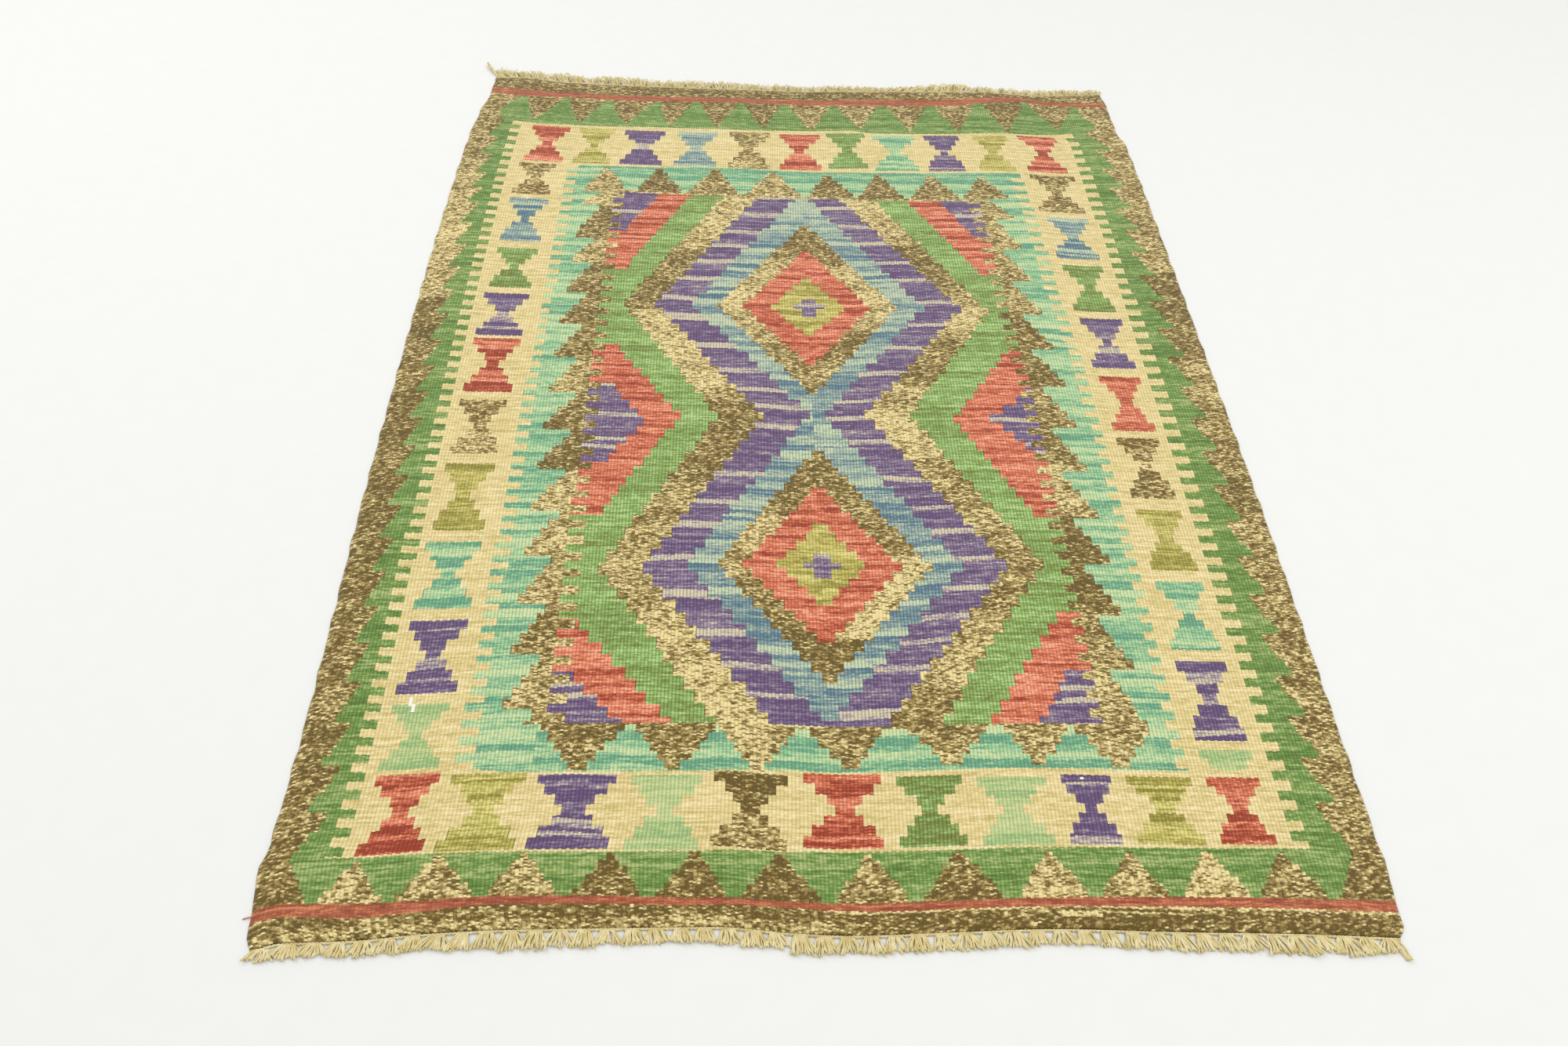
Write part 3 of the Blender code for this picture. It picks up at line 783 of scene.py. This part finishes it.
def quads(points):
    """Faces of a grid of points, seen from above."""
    return np.stack((points[1:, :-1], points[1:, 1:], points[:-1, 1:], points[:-1, :-1]), -1).reshape(-1, 4)


def zip_edges(top_run, under_run):
    """Faces between a run of upper rim points and the coarser run of under rim points."""
    top_run, under_run = top_run.tolist(), under_run.tolist()
    step = (len(top_run) - 1) // (len(under_run) - 1)
    return [
        (under_run[i], under_run[i + 1], *reversed(top_run[i * step:(i + 1) * step + 1]))
        for i in range(len(under_run) - 1)
    ]


def add_object(name, data):
    """A new object in the scene."""
    placed = bpy.data.objects.new(name, data)
    bpy.context.scene.collection.objects.link(placed)
    return placed


def build_cloth():
    """The whole rug cloth as one closed mesh, with its chart stored on the faces."""
    top_shares = np.linspace(0, 1, COLUMNS)
    under_shares = top_shares[::UNDER_STEP]
    top, top_share, top_row = layer_points(top_shares, row_places, True)
    under, under_share, under_row = layer_points(under_shares, row_places, False)
    upper = np.arange(len(top)).reshape(ROWS, -1)
    lower = len(top) + np.arange(len(under)).reshape(ROWS, -1)
    rims = (  # upper and lower points, and which way round the faces go
        (upper[0], lower[0], -1), (upper[-1], lower[-1], 1),
        (upper[:, 0], lower[:, 0], 1), (upper[:, -1], lower[:, -1], -1),
    )
    top_faces, under_faces = quads(upper).tolist(), quads(lower)[:, ::-1].tolist()
    rim_faces = [face[::turn] for *runs, turn in rims for face in zip_edges(*runs)]

    mesh = bpy.data.meshes.new("kilim_cloth")
    mesh.from_pydata(np.concatenate((top, under)).tolist(), [], top_faces + under_faces + rim_faces)
    mesh.shade_smooth()

    yarns, turns, slits = cell_yarns()
    under_ribs = np.arange(len(under_shares) - 1) * UNDER_STEP // 2
    rim_cells = [(row, rib) for row in (0, ROWS - 2) for rib in under_ribs]
    rim_cells += [(row, rib) for rib in (0, RIBS - 1) for row in range(ROWS - 1)]
    rim_rows, rim_ribs = (np.array(side) for side in zip(*rim_cells))

    def store(name, values):
        """Three numbers of each rib and row, on all the faces made from them."""
        above, below = np.repeat(values, 2, axis=1), values[:, under_ribs]
        on_faces = np.concatenate((above.reshape(-1, 3), below.reshape(-1, 3), values[rim_rows, rim_ribs]))
        layer = mesh.attributes.new(name, "FLOAT_VECTOR", "FACE")
        layer.data.foreach_set("vector", on_faces.astype(np.float32).ravel())

    store("first_yarns", yarns[..., :3])
    store("turns", turns)
    # the slit flags ride with the last yarn: the wool material paints shade into the slits
    store("last_yarn", np.concatenate((yarns[..., 3:], slits), -1))

    share = np.concatenate((top_share, under_share))
    row = np.concatenate((top_row, under_row))
    loops = np.zeros(len(mesh.loops), np.int32)
    mesh.loops.foreach_get("vertex_index", loops)
    weave = np.stack((share * WIDTH_MM * MM, row * MM), 1)[loops]
    mesh.uv_layers.new(name="Weave").data.foreach_set("uv", weave.astype(np.float32).ravel())

    def place_in(area):
        """Where each corner of the faces lies in an area of the bake map."""
        left, low, right, high = area
        return np.stack((left + (right - left) * share, high - (high - low) * row / LENGTH_MM), 1)[loops]

    bake = place_in(TOP_MAP)
    loop_faces = np.repeat(np.arange(len(mesh.polygons)), [p.loop_total for p in mesh.polygons])
    below = (loop_faces >= len(top_faces)) & (loop_faces < len(top_faces) + len(under_faces))
    bake[below] = place_in(UNDER_MAP)[below]
    rim = loop_faces >= len(top_faces) + len(under_faces)
    from_middle = np.stack((share - 0.5, 0.5 - row / LENGTH_MM), 1)
    outward = np.sign(from_middle) * (np.abs(from_middle) > RIM_REACH)
    pushed = rim & (loops >= len(top))
    bake[pushed] += RIM_MAP * outward[loops][pushed]
    mesh.uv_layers.new(name="OFBake").data.foreach_set("uv", bake.astype(np.float32).ravel())

    return add_object("kilim_cloth", mesh)


# -------------------- fringes
YARN_SIDES = 6
YARNS_PER_LOCK = 6
YARN_RADIUS = {"far": 0.66 * MM, "near": 0.78 * MM}
ROOT_SWELL, TIP_SWELL = 0.95, 1.25  # the plies open towards the cut end
FLOOR_GAP = 0.05 * MM
YARN_PITCH = 0.42 * MM  # from yarn to yarn at a lock's root
YARN_STEPS = 8
YARN_BEND, YARN_WAVE = 1.5 * MM, 0.5 * MM
LANDING = 0.6  # share of its length where a yarn comes down to the floor
SWEEP = 0.8  # below 1 it turns aside early, near its root
TWINE_PLACE, ROOT_PLACE = 0.45, 0.6  # of the twine and of the yarns' roots, in widths of the cord
# Ranges of the random draws: least and most
TIPS_DRAWN = (0.8, 1.0)  # of TIP_SPREAD, as in the part
LOCK_DRAWN = (0.82, 1.0)  # of the fringe's length, as in the part
RADIUS_DRAWN = (0.75, 1.05)  # of YARN_RADIUS
CUT_DRAWN = (0.75, 1.04)  # of its lock's length
FAN_DRAWN = (0.7, 1.3)  # of how far the yarns of a lock fan out
ROOT_HEIGHT_DRAWN = (1.1, 1.7)  # mm
TAIL_FAN = 0.2
WEFT_END_ROW_MM = 1192.0
WEFT_END_ROOT, WEFT_END_LENGTH, WEFT_END_DROOP = 1.5 * MM, 7.0 * MM, 1.2 * MM
WEFT_END_HEIGHTS = (1.5 * MM, 0.6 * MM)  # at its root and at its tip
WEFT_END_RADIUS = 0.5 * MM
TWINE_STEP_MM = 0.9
TWINE_RADIUS = 0.62 * MM
TWINE_SWING = 0.5 * MM
TWINE_TURN_MM = 6.2  # one turn of the twined cord for two warp ribs
GATHER = {"far": (0.55, 0.95), "near": (0.6, 1.25)}  # least and most that a bunch's tips keep apart
ROOT_SPREAD = {"far": 1.3, "near": 1.0}  # the far bunches stand wider at their roots
REACH = {"far": (0.68, 1.17), "near": (0.88, 1.06)}  # shortest and longest share of a bunch's plan
LOFT = {"far": 4.2 * MM, "near": 1.6 * MM}  # how high loose tips stand


class TubeMesh:
    """Collects round yarns into one mesh."""

    def __init__(self, name):
        self.name = name
        self.vertices, self.faces, self.uvs = [], [], []

    def add(self, points, radii, ply_start):
        """One yarn along the points; its ends are closed. Its plies start at their own turn round it."""
        points = np.array(points, float)
        first = len(self.vertices)
        runs = np.gradient(points, axis=0)
        runs /= np.linalg.norm(runs, axis=1)[:, None]
        side = np.cross(runs, (0, 0, 1))
        side /= np.linalg.norm(side, axis=1)[:, None]
        up = np.cross(side, runs)
        length = np.append(0, np.cumsum(np.linalg.norm(np.diff(points, axis=0), axis=1)))
        for point, aside, above, radius in zip(points, side, up, radii):
            for k in range(YARN_SIDES):
                turn = 2 * math.pi * k / YARN_SIDES
                self.vertices.append(point + radius * (math.cos(turn) * aside + math.sin(turn) * above))
        rings = len(points)
        for ring in range(rings - 1):
            for k in range(YARN_SIDES):
                following = (k + 1) % YARN_SIDES
                a, b = first + ring * YARN_SIDES, first + (ring + 1) * YARN_SIDES
                self.faces.append((a + k, a + following, b + following, b + k))
                here, there = k / YARN_SIDES + ply_start, (k + 1) / YARN_SIDES + ply_start
                before, after = length[ring], length[ring + 1]
                self.uvs += [(here, before), (there, before), (there, after), (here, after)]
        for ring, order in ((0, 1), (rings - 1, -1)):
            loop = [first + ring * YARN_SIDES + k for k in range(YARN_SIDES)][::-order]
            self.faces.append(tuple(loop))
            self.uvs += [(ply_start + 0.5, length[ring])] * YARN_SIDES

    def build(self, material):
        """The collected yarns as an object."""
        mesh = bpy.data.meshes.new(self.name)
        mesh.from_pydata([tuple(v) for v in self.vertices], [], self.faces)
        mesh.shade_smooth()
        layer = mesh.uv_layers.new(name="Weave")
        layer.data.foreach_set("uv", np.array(self.uvs, np.float32).ravel())
        mesh.materials.append(material)
        return add_object(self.name, mesh)


def end_line(end, shares):
    """Floor points of the cloth's end."""
    row = np.full(len(shares), 0.0 if end == "far" else LENGTH_MM)
    x, y, _, _ = floor_point(np.asarray(shares, float), row)
    return x, y


def add_twine(tubes, end, out):
    """Two plies twisted round each other along the cloth's end."""
    count = int(WIDTH_MM / TWINE_STEP_MM)
    shares = np.linspace(0.001, 0.999, count)
    x, y = end_line(end, shares)
    middle_y = y + out * (PIECE_GAP + TWINE_PLACE * CORD_WIDTH)
    middle_z = TWINE_RADIUS + TWINE_SWING + FLOOR_GAP
    for ply in (0, 1):
        turn = 2 * math.pi * shares * WIDTH_MM / TWINE_TURN_MM + ply * math.pi
        points = np.stack(
            (x, middle_y + TWINE_SWING * np.cos(turn), middle_z + TWINE_SWING * np.sin(turn)), 1
        )
        tubes.add(points, np.full(count, TWINE_RADIUS), 0.37 * ply)


def add_yarn(tubes, draw, root, tip, height, loft, radius):
    """One cut warp end: out of the cord, down to the floor and along it."""
    bend, wave = draw.uniform(-1, 1) * YARN_BEND, draw.uniform(-1, 1) * YARN_WAVE
    rest = radius * TIP_SWELL + FLOOR_GAP + draw.random() * loft
    points, radii = [], []
    for step in range(YARN_STEPS + 1):
        part = step / YARN_STEPS
        x = root[0] + (tip[0] - root[0]) * part**SWEEP
        x += bend * math.sin(math.pi * part) + wave * math.sin(2 * math.pi * part)
        y = root[1] + (tip[1] - root[1]) * part
        z = rest + (height - rest) * max(0.0, 1 - part / LANDING) ** 2
        points.append((x, y, z))
        radii.append(radius * (ROOT_SWELL + (TIP_SWELL - ROOT_SWELL) * part))
    tubes.add(points, radii, draw.random())


def build_fringe(end, lengths, leans, material, seed):
    """All the yarns of one end, bunch by bunch where the part has them."""
    draw = random.Random(seed)
    strands = random.Random(seed + 50)
    out = 1 if end == "far" else -1
    tubes = TubeMesh(f"fringe_{end}_yarns")
    add_twine(tubes, end, out)
    line_x, line_y = end_line(end, np.arange(BUNCHES + 1) / BUNCHES)
    middles = (np.arange(BUNCHES) + 0.5) / BUNCHES * WIDTH_MM
    length_of, lean_of = between(lengths, middles) * MM, between(leans, middles) * MM
    stray = 0.0
    for bunch in range(BUNCHES):
        x0, x1 = line_x[bunch], line_x[bunch + 1]
        y0, y1 = line_y[bunch], line_y[bunch + 1]
        stray = LEAN_KEPT * stray + draw.uniform(-1, 1) * LEAN_CHANGE
        lean = lean_of[bunch] + stray
        gather, grown = strands.uniform(*GATHER[end]), strands.uniform(*REACH[end])
        tips = TIP_SPREAD * draw.uniform(*TIPS_DRAWN) * gather
        for lock in range(LOCKS_PER_BUNCH):
            place = lock - (LOCKS_PER_BUNCH - 1) / 2
            reach = length_of[bunch] * draw.uniform(*LOCK_DRAWN)
            sway = lean + place * tips
            tail = (end == "far" and bunch == 0 and lock == 0) or (
                end == "near" and bunch == BUNCHES - 1 and lock == LOCKS_PER_BUNCH - 1
            )
            if tail:
                reach, sway = CORNER_TAIL[end], TAIL_LEAN[end]
            root_x = (x0 + x1) / 2 + place * (LOCK_ROOT_WIDTH + LOCK_ROOT_GAP) * ROOT_SPREAD[end]
            root_y = (y0 + y1) / 2 + out * (PIECE_GAP + ROOT_PLACE * CORD_WIDTH)
            for yarn in range(YARNS_PER_LOCK):
                part = yarn - (YARNS_PER_LOCK - 1) / 2
                radius = YARN_RADIUS[end] * strands.uniform(*RADIUS_DRAWN)
                x = root_x + part * YARN_PITCH * (1.0 if tail else ROOT_SPREAD[end])
                cut = reach * (1.0 if tail else grown * strands.uniform(*CUT_DRAWN))
                fan = TAIL_FAN if tail else gather * strands.uniform(*FAN_DRAWN)
                tip_x = x + sway + part * fan * MM
                add_yarn(
                    tubes, strands, (x, root_y), (tip_x, root_y + out * cut),
                    strands.uniform(*ROOT_HEIGHT_DRAWN) * MM, LOFT[end], radius,
                )
    return tubes.build(material)


def build_weft_end(material):
    """The end of the red stripe's weft, left to stick out of the left selvedge."""
    tubes = TubeMesh("weft_end")
    (x,), (y,), _, _ = floor_point(np.zeros(1), np.full(1, WEFT_END_ROW_MM))
    part = np.linspace(0, 1, 6)
    height = WEFT_END_HEIGHTS[0] + (WEFT_END_HEIGHTS[1] - WEFT_END_HEIGHTS[0]) * part
    points = np.stack(
        (x + WEFT_END_ROOT - WEFT_END_LENGTH * part, y - WEFT_END_DROOP * part**2, height), 1
    )
    tubes.add(points, np.full(len(part), WEFT_END_RADIUS), 0.2)
    return tubes.build(material)


# -------------------- materials
class Nodes:
    """A small helper that writes a material's nodes as nested calls."""

    def __init__(self, name):
        self.material = bpy.data.materials.new(name)
        self.material.use_nodes = True
        self.tree = self.material.node_tree
        self.shader = self.tree.nodes["Principled BSDF"]

    def set(self, socket, value):
        """Links a socket, or gives it its own value."""
        if isinstance(value, bpy.types.NodeSocket):
            self.tree.links.new(value, socket)
        else:
            socket.default_value = value

    def add(self, kind, inputs=(), output=0, **settings):
        """A new node's output."""
        node = self.tree.nodes.new(kind)
        for key, value in settings.items():
            setattr(node, key, value)
        for key, value in dict(inputs).items():
            self.set(node.inputs[key], value)
        return node.outputs[output]

    def math(self, operation, first, second=0.0, third=0.0, clamp=False):
        """One step of arithmetic."""
        return self.add(
            "ShaderNodeMath", {0: first, 1: second, 2: third}, operation=operation, use_clamp=clamp
        )

    def plus(self, first, second):
        return self.math("ADD", first, second)

    def minus(self, first, second):
        return self.math("SUBTRACT", first, second)

    def times(self, first, second):
        return self.math("MULTIPLY", first, second)

    def scaled(self, value, gain, base, clamp=False):
        """A value times a gain, on top of a base."""
        return self.math("MULTIPLY_ADD", value, gain, base, clamp)

    def swing(self, noise, gain, base, clamp=False):
        """The same for a noise round its middle."""
        return self.scaled(self.minus(noise, 0.5), gain, base, clamp)

    def wave(self, place):
        """Half a sine over each whole number."""
        return self.math("SINE", self.times(place, math.pi))

    def mix(self, share, first, second):
        """Between two numbers."""
        return self.add("ShaderNodeMix", {0: share, 2: first, 3: second}, data_type="FLOAT")

    def blend(self, share, first, second, kind="MIX"):
        """Between two colours."""
        return self.add(
            "ShaderNodeMix", {0: share, 6: first, 7: second}, output=2, data_type="RGBA", blend_type=kind
        )

    def split(self, vector):
        """The three numbers of a vector."""
        node = self.tree.nodes.new("ShaderNodeSeparateXYZ")
        self.set(node.inputs[0], vector)
        return node.outputs

    def join(self, x, y, z=0.0):
        """A vector of three numbers."""
        return self.add("ShaderNodeCombineXYZ", {0: x, 1: y, 2: z})

    def attribute(self, name):
        """Three numbers that the mesh keeps on each face."""
        return self.split(self.add("ShaderNodeAttribute", output="Vector", attribute_name=name))

    def noise(self, vector, scale=1.0, detail=2.0):
        """A soft noise from 0 to 1."""
        return self.add(
            "ShaderNodeTexNoise", {"Vector": vector, "Scale": scale, "Detail": detail}, noise_dimensions="3D"
        )

    def threads(self, across, along, across_gain, along_gain, detail, layer=0.0):
        """A noise drawn out along the wefts."""
        vector = self.join(self.times(across, across_gain), self.times(along, along_gain), layer)
        return self.noise(vector, detail=detail)

    def darken(self, colour, light):
        """A colour times a grey."""
        return self.blend(1.0, colour, self.join(light, light, light), "MULTIPLY")

    def surface(self, colour, roughness, height=None, strength=0.5, distance=0.0):
        """Sets the shader and gives the material."""
        self.set(self.shader.inputs["Base Color"], colour)
        self.shader.inputs["Roughness"].default_value = roughness
        if height is not None:
            bump = {"Strength": strength, "Distance": distance, "Height": height}
            self.set(self.shader.inputs["Normal"], self.add("ShaderNodeBump", bump))
        return self.material

    def ramp(self, place, colours):
        """A row of flat colours, one for each yarn."""
        node = self.tree.nodes.new("ShaderNodeValToRGB")
        node.color_ramp.interpolation = "CONSTANT"
        stops = node.color_ramp.elements
        while len(stops) < len(colours):
            stops.new(0.5)
        for number, colour in enumerate(colours):
            stops[number].position = number / len(colours)
            stops[number].color = (*colour, 1)
        self.set(node.inputs[0], place)
        return node.outputs[0]


def linear(code, gain=1.0):
    """Linear red, green and blue of a #rrggbb colour."""
    parts = [int(code[i:i + 2], 16) / 255 for i in (1, 3, 5)]
    return tuple(gain * (p / 12.92 if p <= 0.04045 else ((p + 0.055) / 1.055) ** 2.4) for p in parts)


# Deep, middle and pale dye lots of each yarn, as the photo shows them; and its rib valleys' painted shade
YARN_COLOURS = (
    ("#65511C", "#A58E52", "#ECD99A", 0.24),  # mottled
    ("#58752F", "#719545", "#ADBA75", 0.40),  # border green
    ("#C6B571", "#E2CD8E", "#F4E3B0", 0.27),  # beige
    ("#65A07F", "#9BC894", "#CEDCA4", 0.40),  # turquoise
    ("#644D74", "#938198", "#D6CAAB", 0.53),  # purple
    ("#9B3C22", "#D6714F", "#FBAE8A", 0.43),  # red
    ("#8F8633", "#BCB159", "#E2D683", 0.38),  # olive
    ("#5A7A8B", "#90A79F", "#C8D4AF", 0.53),  # blue
    ("#92B577", "#B5C784", "#CDD598", 0.36),  # mint
    ("#78803A", "#8AAD5B", "#B8D689", 0.52),  # field green
    ("#89422A", "#A85B3C", "#D3835A", 0.20),  # stripe red
    ("#EDE6D2", "#F4EEDC", "#FAF5E6", 0.10),  # white
)
COLOUR_GAIN = 0.96
BEAD_MM = 1.4  # two wefts packed over one rib
DASH_MM = 7.2  # how long one ply of the mottled yarn shows
SLIP_MM = 0.7  # a colour's edge steps this far from rib to rib
# painted shade darkens this share of a rib at a slit
SLIT_SHARE = 0.14  # share of a rib that a slit takes
# Uneven dye of the plain yarns: turns in a metre across and along, detail, layer, strength
STREAKS = ((14.0, 260.0, 2.0, 0.0, 1.65), (80.0, 550.0, 1.0, 3.0, 1.5))
SPECK_STRENGTH = 0.4  # of the difference from bead to bead
LOT_STRENGTH = 0.26  # of the mottled yarn's lots
DASH_STEP = 7.31  # sets the dashes of one weft apart from those of the next
PLY_BALANCE, PLY_CONTRAST = 0.695, 4.1  # where the dark ply gives way to the straw one, and how sharply
FRINGE_COLOURS = ("#CDB76C", "#F8ECC0")
PLY_TURNS = 420.0  # of the fringe yarns, in a metre
FLOOR_TONES = (0.72, 0.725, 0.705, 1), (0.745, 0.75, 0.73, 1)
FAR_FLOOR = (0.97, 0.97, 0.96, 1)


def cloth_material():
    """Wool wefts over the warp ribs: bead by bead, each in the yarn that the chart gives it."""
    n = Nodes("kilim_wool")
    across, along, _ = n.split(n.add("ShaderNodeUVMap", uv_map="Weave"))
    rib_place = n.times(across, 1000 / RIB_MM)
    rib = n.math("FLOOR", rib_place)
    in_rib = n.minus(rib_place, rib)
    odd = n.math("MODULO", rib, 2.0)
    rib_round = n.wave(in_rib)

    # beads of weft, staggered from rib to rib
    bead_place = n.scaled(along, 1000 / BEAD_MM, n.times(odd, 0.5))
    bead = n.math("FLOOR", bead_place)
    bead_round = n.wave(n.minus(bead_place, bead))
    speck = n.add("ShaderNodeTexWhiteNoise", {"Vector": n.join(rib, bead)}, noise_dimensions="2D")

    # which yarn: the edge between two colours steps with the beads
    place = n.plus(along, n.times(n.minus(odd, 0.5), SLIP_MM * MM))
    first, second, third = n.attribute("first_yarns")
    fourth, slit_left, slit_right = n.attribute("last_yarn")
    code = first
    for turn, following in zip(n.attribute("turns"), (second, third, fourth)):
        code = n.mix(n.math("GREATER_THAN", place, turn), code, following)
    yarn = n.math("FLOOR", code)
    shade = n.minus(code, yarn)

    # uneven dye: long thin streaks along the wefts
    plain_shade = shade
    for *noise, strength in STREAKS:
        plain_shade = n.swing(n.threads(across, along, *noise), strength, plain_shade)
    plain_shade = n.swing(speck, SPECK_STRENGTH, plain_shade)

    # mottled yarn: dashes of a dark and a straw ply, with darker and paler patches
    patch = n.threads(across, along, 16.0, 40.0, 3.0, 8.0)
    lightness = n.swing(patch, 0.25, n.times(shade, LOT_STRENGTH))
    dash = n.threads(across, bead, 1000 / DASH_MM, DASH_STEP, 2.0)
    grain = n.plus(n.times(dash, 0.9), n.times(speck, 0.2))
    mottled_shade = n.scaled(n.minus(n.plus(grain, lightness), PLY_BALANCE), PLY_CONTRAST, 0.5)
    shade = n.mix(n.math("LESS_THAN", yarn, 0.5), plain_shade, mottled_shade)

    where = n.times(n.plus(yarn, 0.5), 1 / len(YARNS))
    lots = [n.ramp(where, [linear(row[lot], COLOUR_GAIN) for row in YARN_COLOURS]) for lot in range(3)]
    low = n.math("MULTIPLY", shade, 2.0, clamp=True)
    high = n.scaled(shade, 2.0, -1.0, clamp=True)
    colour = n.blend(high, n.blend(low, lots[0], lots[1]), lots[2])

    # painted shade in the rib valleys, between the beads and in the slits
    # painted shade in the rib valleys, stronger for some yarns than for others
    valley_shade_strength = n.split(n.ramp(where, [(row[3],) * 3 for row in YARN_COLOURS]))[0]
    hollow = n.minus(1.0, n.math("POWER", rib_round, 0.8))
    valley = n.minus(1.0, n.times(hollow, valley_shade_strength))
    # painted shade in the grooves between the beads of weft
    bead_gap_shade = n.scaled(n.math("POWER", bead_round, 0.6), 0.3, 0.74, clamp=True)
    # painted shade in the slits where two colours meet
    left_slit_shade = n.times(slit_left, n.math("LESS_THAN", in_rib, SLIT_SHARE))
    right_slit_shade = n.times(slit_right, n.math("GREATER_THAN", in_rib, 1 - SLIT_SHARE))
    slit = n.minus(1.0, n.times(n.plus(left_slit_shade, right_slit_shade), 0.5))
    # the painted shade of the valleys, bead grooves and slits darkens the colour
    colour = n.darken(colour, n.times(n.times(valley, bead_gap_shade), slit))

    fuzz = n.noise(n.add("ShaderNodeTexCoord", output="Object"), scale=1500.0)
    height = n.scaled(fuzz, 0.35, n.scaled(bead_round, 0.35, n.times(rib_round, 0.5)))
    for socket, value in (("Sheen Weight", 0.15), ("Sheen Roughness", 0.6), ("Specular IOR Level", 0.25)):
        n.shader.inputs[socket].default_value = value
    return n.surface(colour, 0.92, height, 0.6, 0.5 * MM)


def fringe_material():
    """Straw-coloured cotton, plied and uneven, with painted shade in the grooves between its plies."""
    n = Nodes("fringe_cotton")
    around, along, _ = n.split(n.add("ShaderNodeUVMap", uv_map="Weave"))
    ply = n.math("SINE", n.times(n.scaled(along, PLY_TURNS, around), 4 * math.pi))
    mottle = n.noise(n.add("ShaderNodeTexCoord", output="Object"), scale=160.0, detail=3.0)
    fibre = n.noise(n.add("ShaderNodeTexCoord", output="Object"), scale=1800.0)
    share = n.swing(mottle, 1.8, 0.5, clamp=True)
    deep, pale = ((*linear(code, COLOUR_GAIN), 1) for code in FRINGE_COLOURS)
    # painted shade in the grooves between the plies
    colour = n.darken(n.blend(share, deep, pale), n.scaled(ply, 0.10, 0.90))
    n.shader.inputs["Specular IOR Level"].default_value = 0.25
    return n.surface(colour, 0.9, n.scaled(fibre, 0.4, n.times(ply, 0.5)), 0.5, 0.25 * MM)


def weft_end_material():
    """The red of the end stripes."""
    n = Nodes("red_weft")
    fibre = n.noise(n.add("ShaderNodeTexCoord", output="Object"), scale=1800.0)
    deep, _, pale, _ = YARN_COLOURS[STRIPE]
    colour = n.blend(fibre, (*linear(deep), 1), (*linear(pale), 1))
    return n.surface(colour, 0.92, fibre, 0.5, 0.2 * MM)


def floor_material():
    """A pale studio floor that turns nearly white far off."""
    n = Nodes("studio_floor")
    place = n.add("ShaderNodeTexCoord", output="Object")
    grain = n.noise(place, scale=40.0, detail=3.0)
    colour = n.blend(grain, *FLOOR_TONES)
    distance = n.add("ShaderNodeVectorMath", {0: place}, output="Value", operation="LENGTH")
    far_off = n.scaled(distance, 0.4, -0.9, clamp=True)
    return n.surface(n.blend(far_off, colour, FAR_FLOOR), 0.8)


# -------------------- making the rug
cotton = fringe_material()
cloth = build_cloth()
cloth.data.materials.append(cloth_material())
fringe_far = build_fringe("far", FAR_FRINGE, FAR_LEAN, cotton, seed=3)
fringe_near = build_fringe("near", NEAR_FRINGE, NEAR_LEAN, cotton, seed=8)
weft_end = build_weft_end(weft_end_material())

for piece, node, slot in (
    (cloth, "kilim_body", "wool_weave"), (fringe_far, "fringe_far", "fringe_cotton"),
    (fringe_near, "fringe_near", "fringe_cotton"),
):
    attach(piece, "root")
    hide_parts(node)
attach(weft_end, "root")

# -------------------- floor, light and camera
FLOOR_CORNERS = ((-30, -30), (30, -30), (30, 30), (-30, 30))
FLOOR_DROP = -0.1 * MM  # keeps the floor clear of the cloth's underside
ROOM_COLOUR, ROOM_LIGHT = (1.0, 1.0, 0.99, 1), 0.92
LAMPS = (  # name, place, size, watts
    ("softbox_left", (-1.6, 0.9, 2.2), 1.6, 20.0),
    ("softbox_right", (1.7, -0.4, 2.4), 1.8, 22.0),
)
CAMERA_LENS, SENSOR_WIDTH = 27.0, 36.0  # mm
CAMERA_PLACE = (-0.06767, -0.94553, 0.87211)
CAMERA_TURNS = (40.1148, -1.6700, -0.8173)  # degrees

floor_mesh = bpy.data.meshes.new("studio_floor")
floor_mesh.from_pydata([(x, y, FLOOR_DROP) for x, y in FLOOR_CORNERS], [], [(0, 1, 2, 3)])
floor_mesh.materials.append(floor_material())
studio_floor = add_object("studio_floor", floor_mesh)

world = bpy.data.worlds.new("studio")
world.use_nodes = True
background = world.node_tree.nodes["Background"].inputs
background["Color"].default_value = ROOM_COLOUR
background["Strength"].default_value = ROOM_LIGHT
bpy.context.scene.world = world

for name, place, size, watts in LAMPS:
    lamp = bpy.data.lights.new(name, "AREA")
    lamp.shape, lamp.size, lamp.energy = "SQUARE", size, watts
    x, y, z = place
    tilt = math.atan2(math.hypot(x, y), z)
    holder = add_object(name, lamp)
    holder.location = place
    holder.rotation_euler = (tilt, 0, math.atan2(-y, -x) - math.pi / 2)

camera_data = bpy.data.cameras.new("photo_camera")
camera_data.lens = CAMERA_LENS
camera_data.sensor_width = SENSOR_WIDTH
camera_data.sensor_fit = "HORIZONTAL"
camera = add_object("photo_camera", camera_data)
camera.location = CAMERA_PLACE
camera.rotation_euler = tuple(math.radians(turn) for turn in CAMERA_TURNS)
bpy.context.scene.camera = camera
bpy.context.scene.view_settings.view_transform = "Standard"
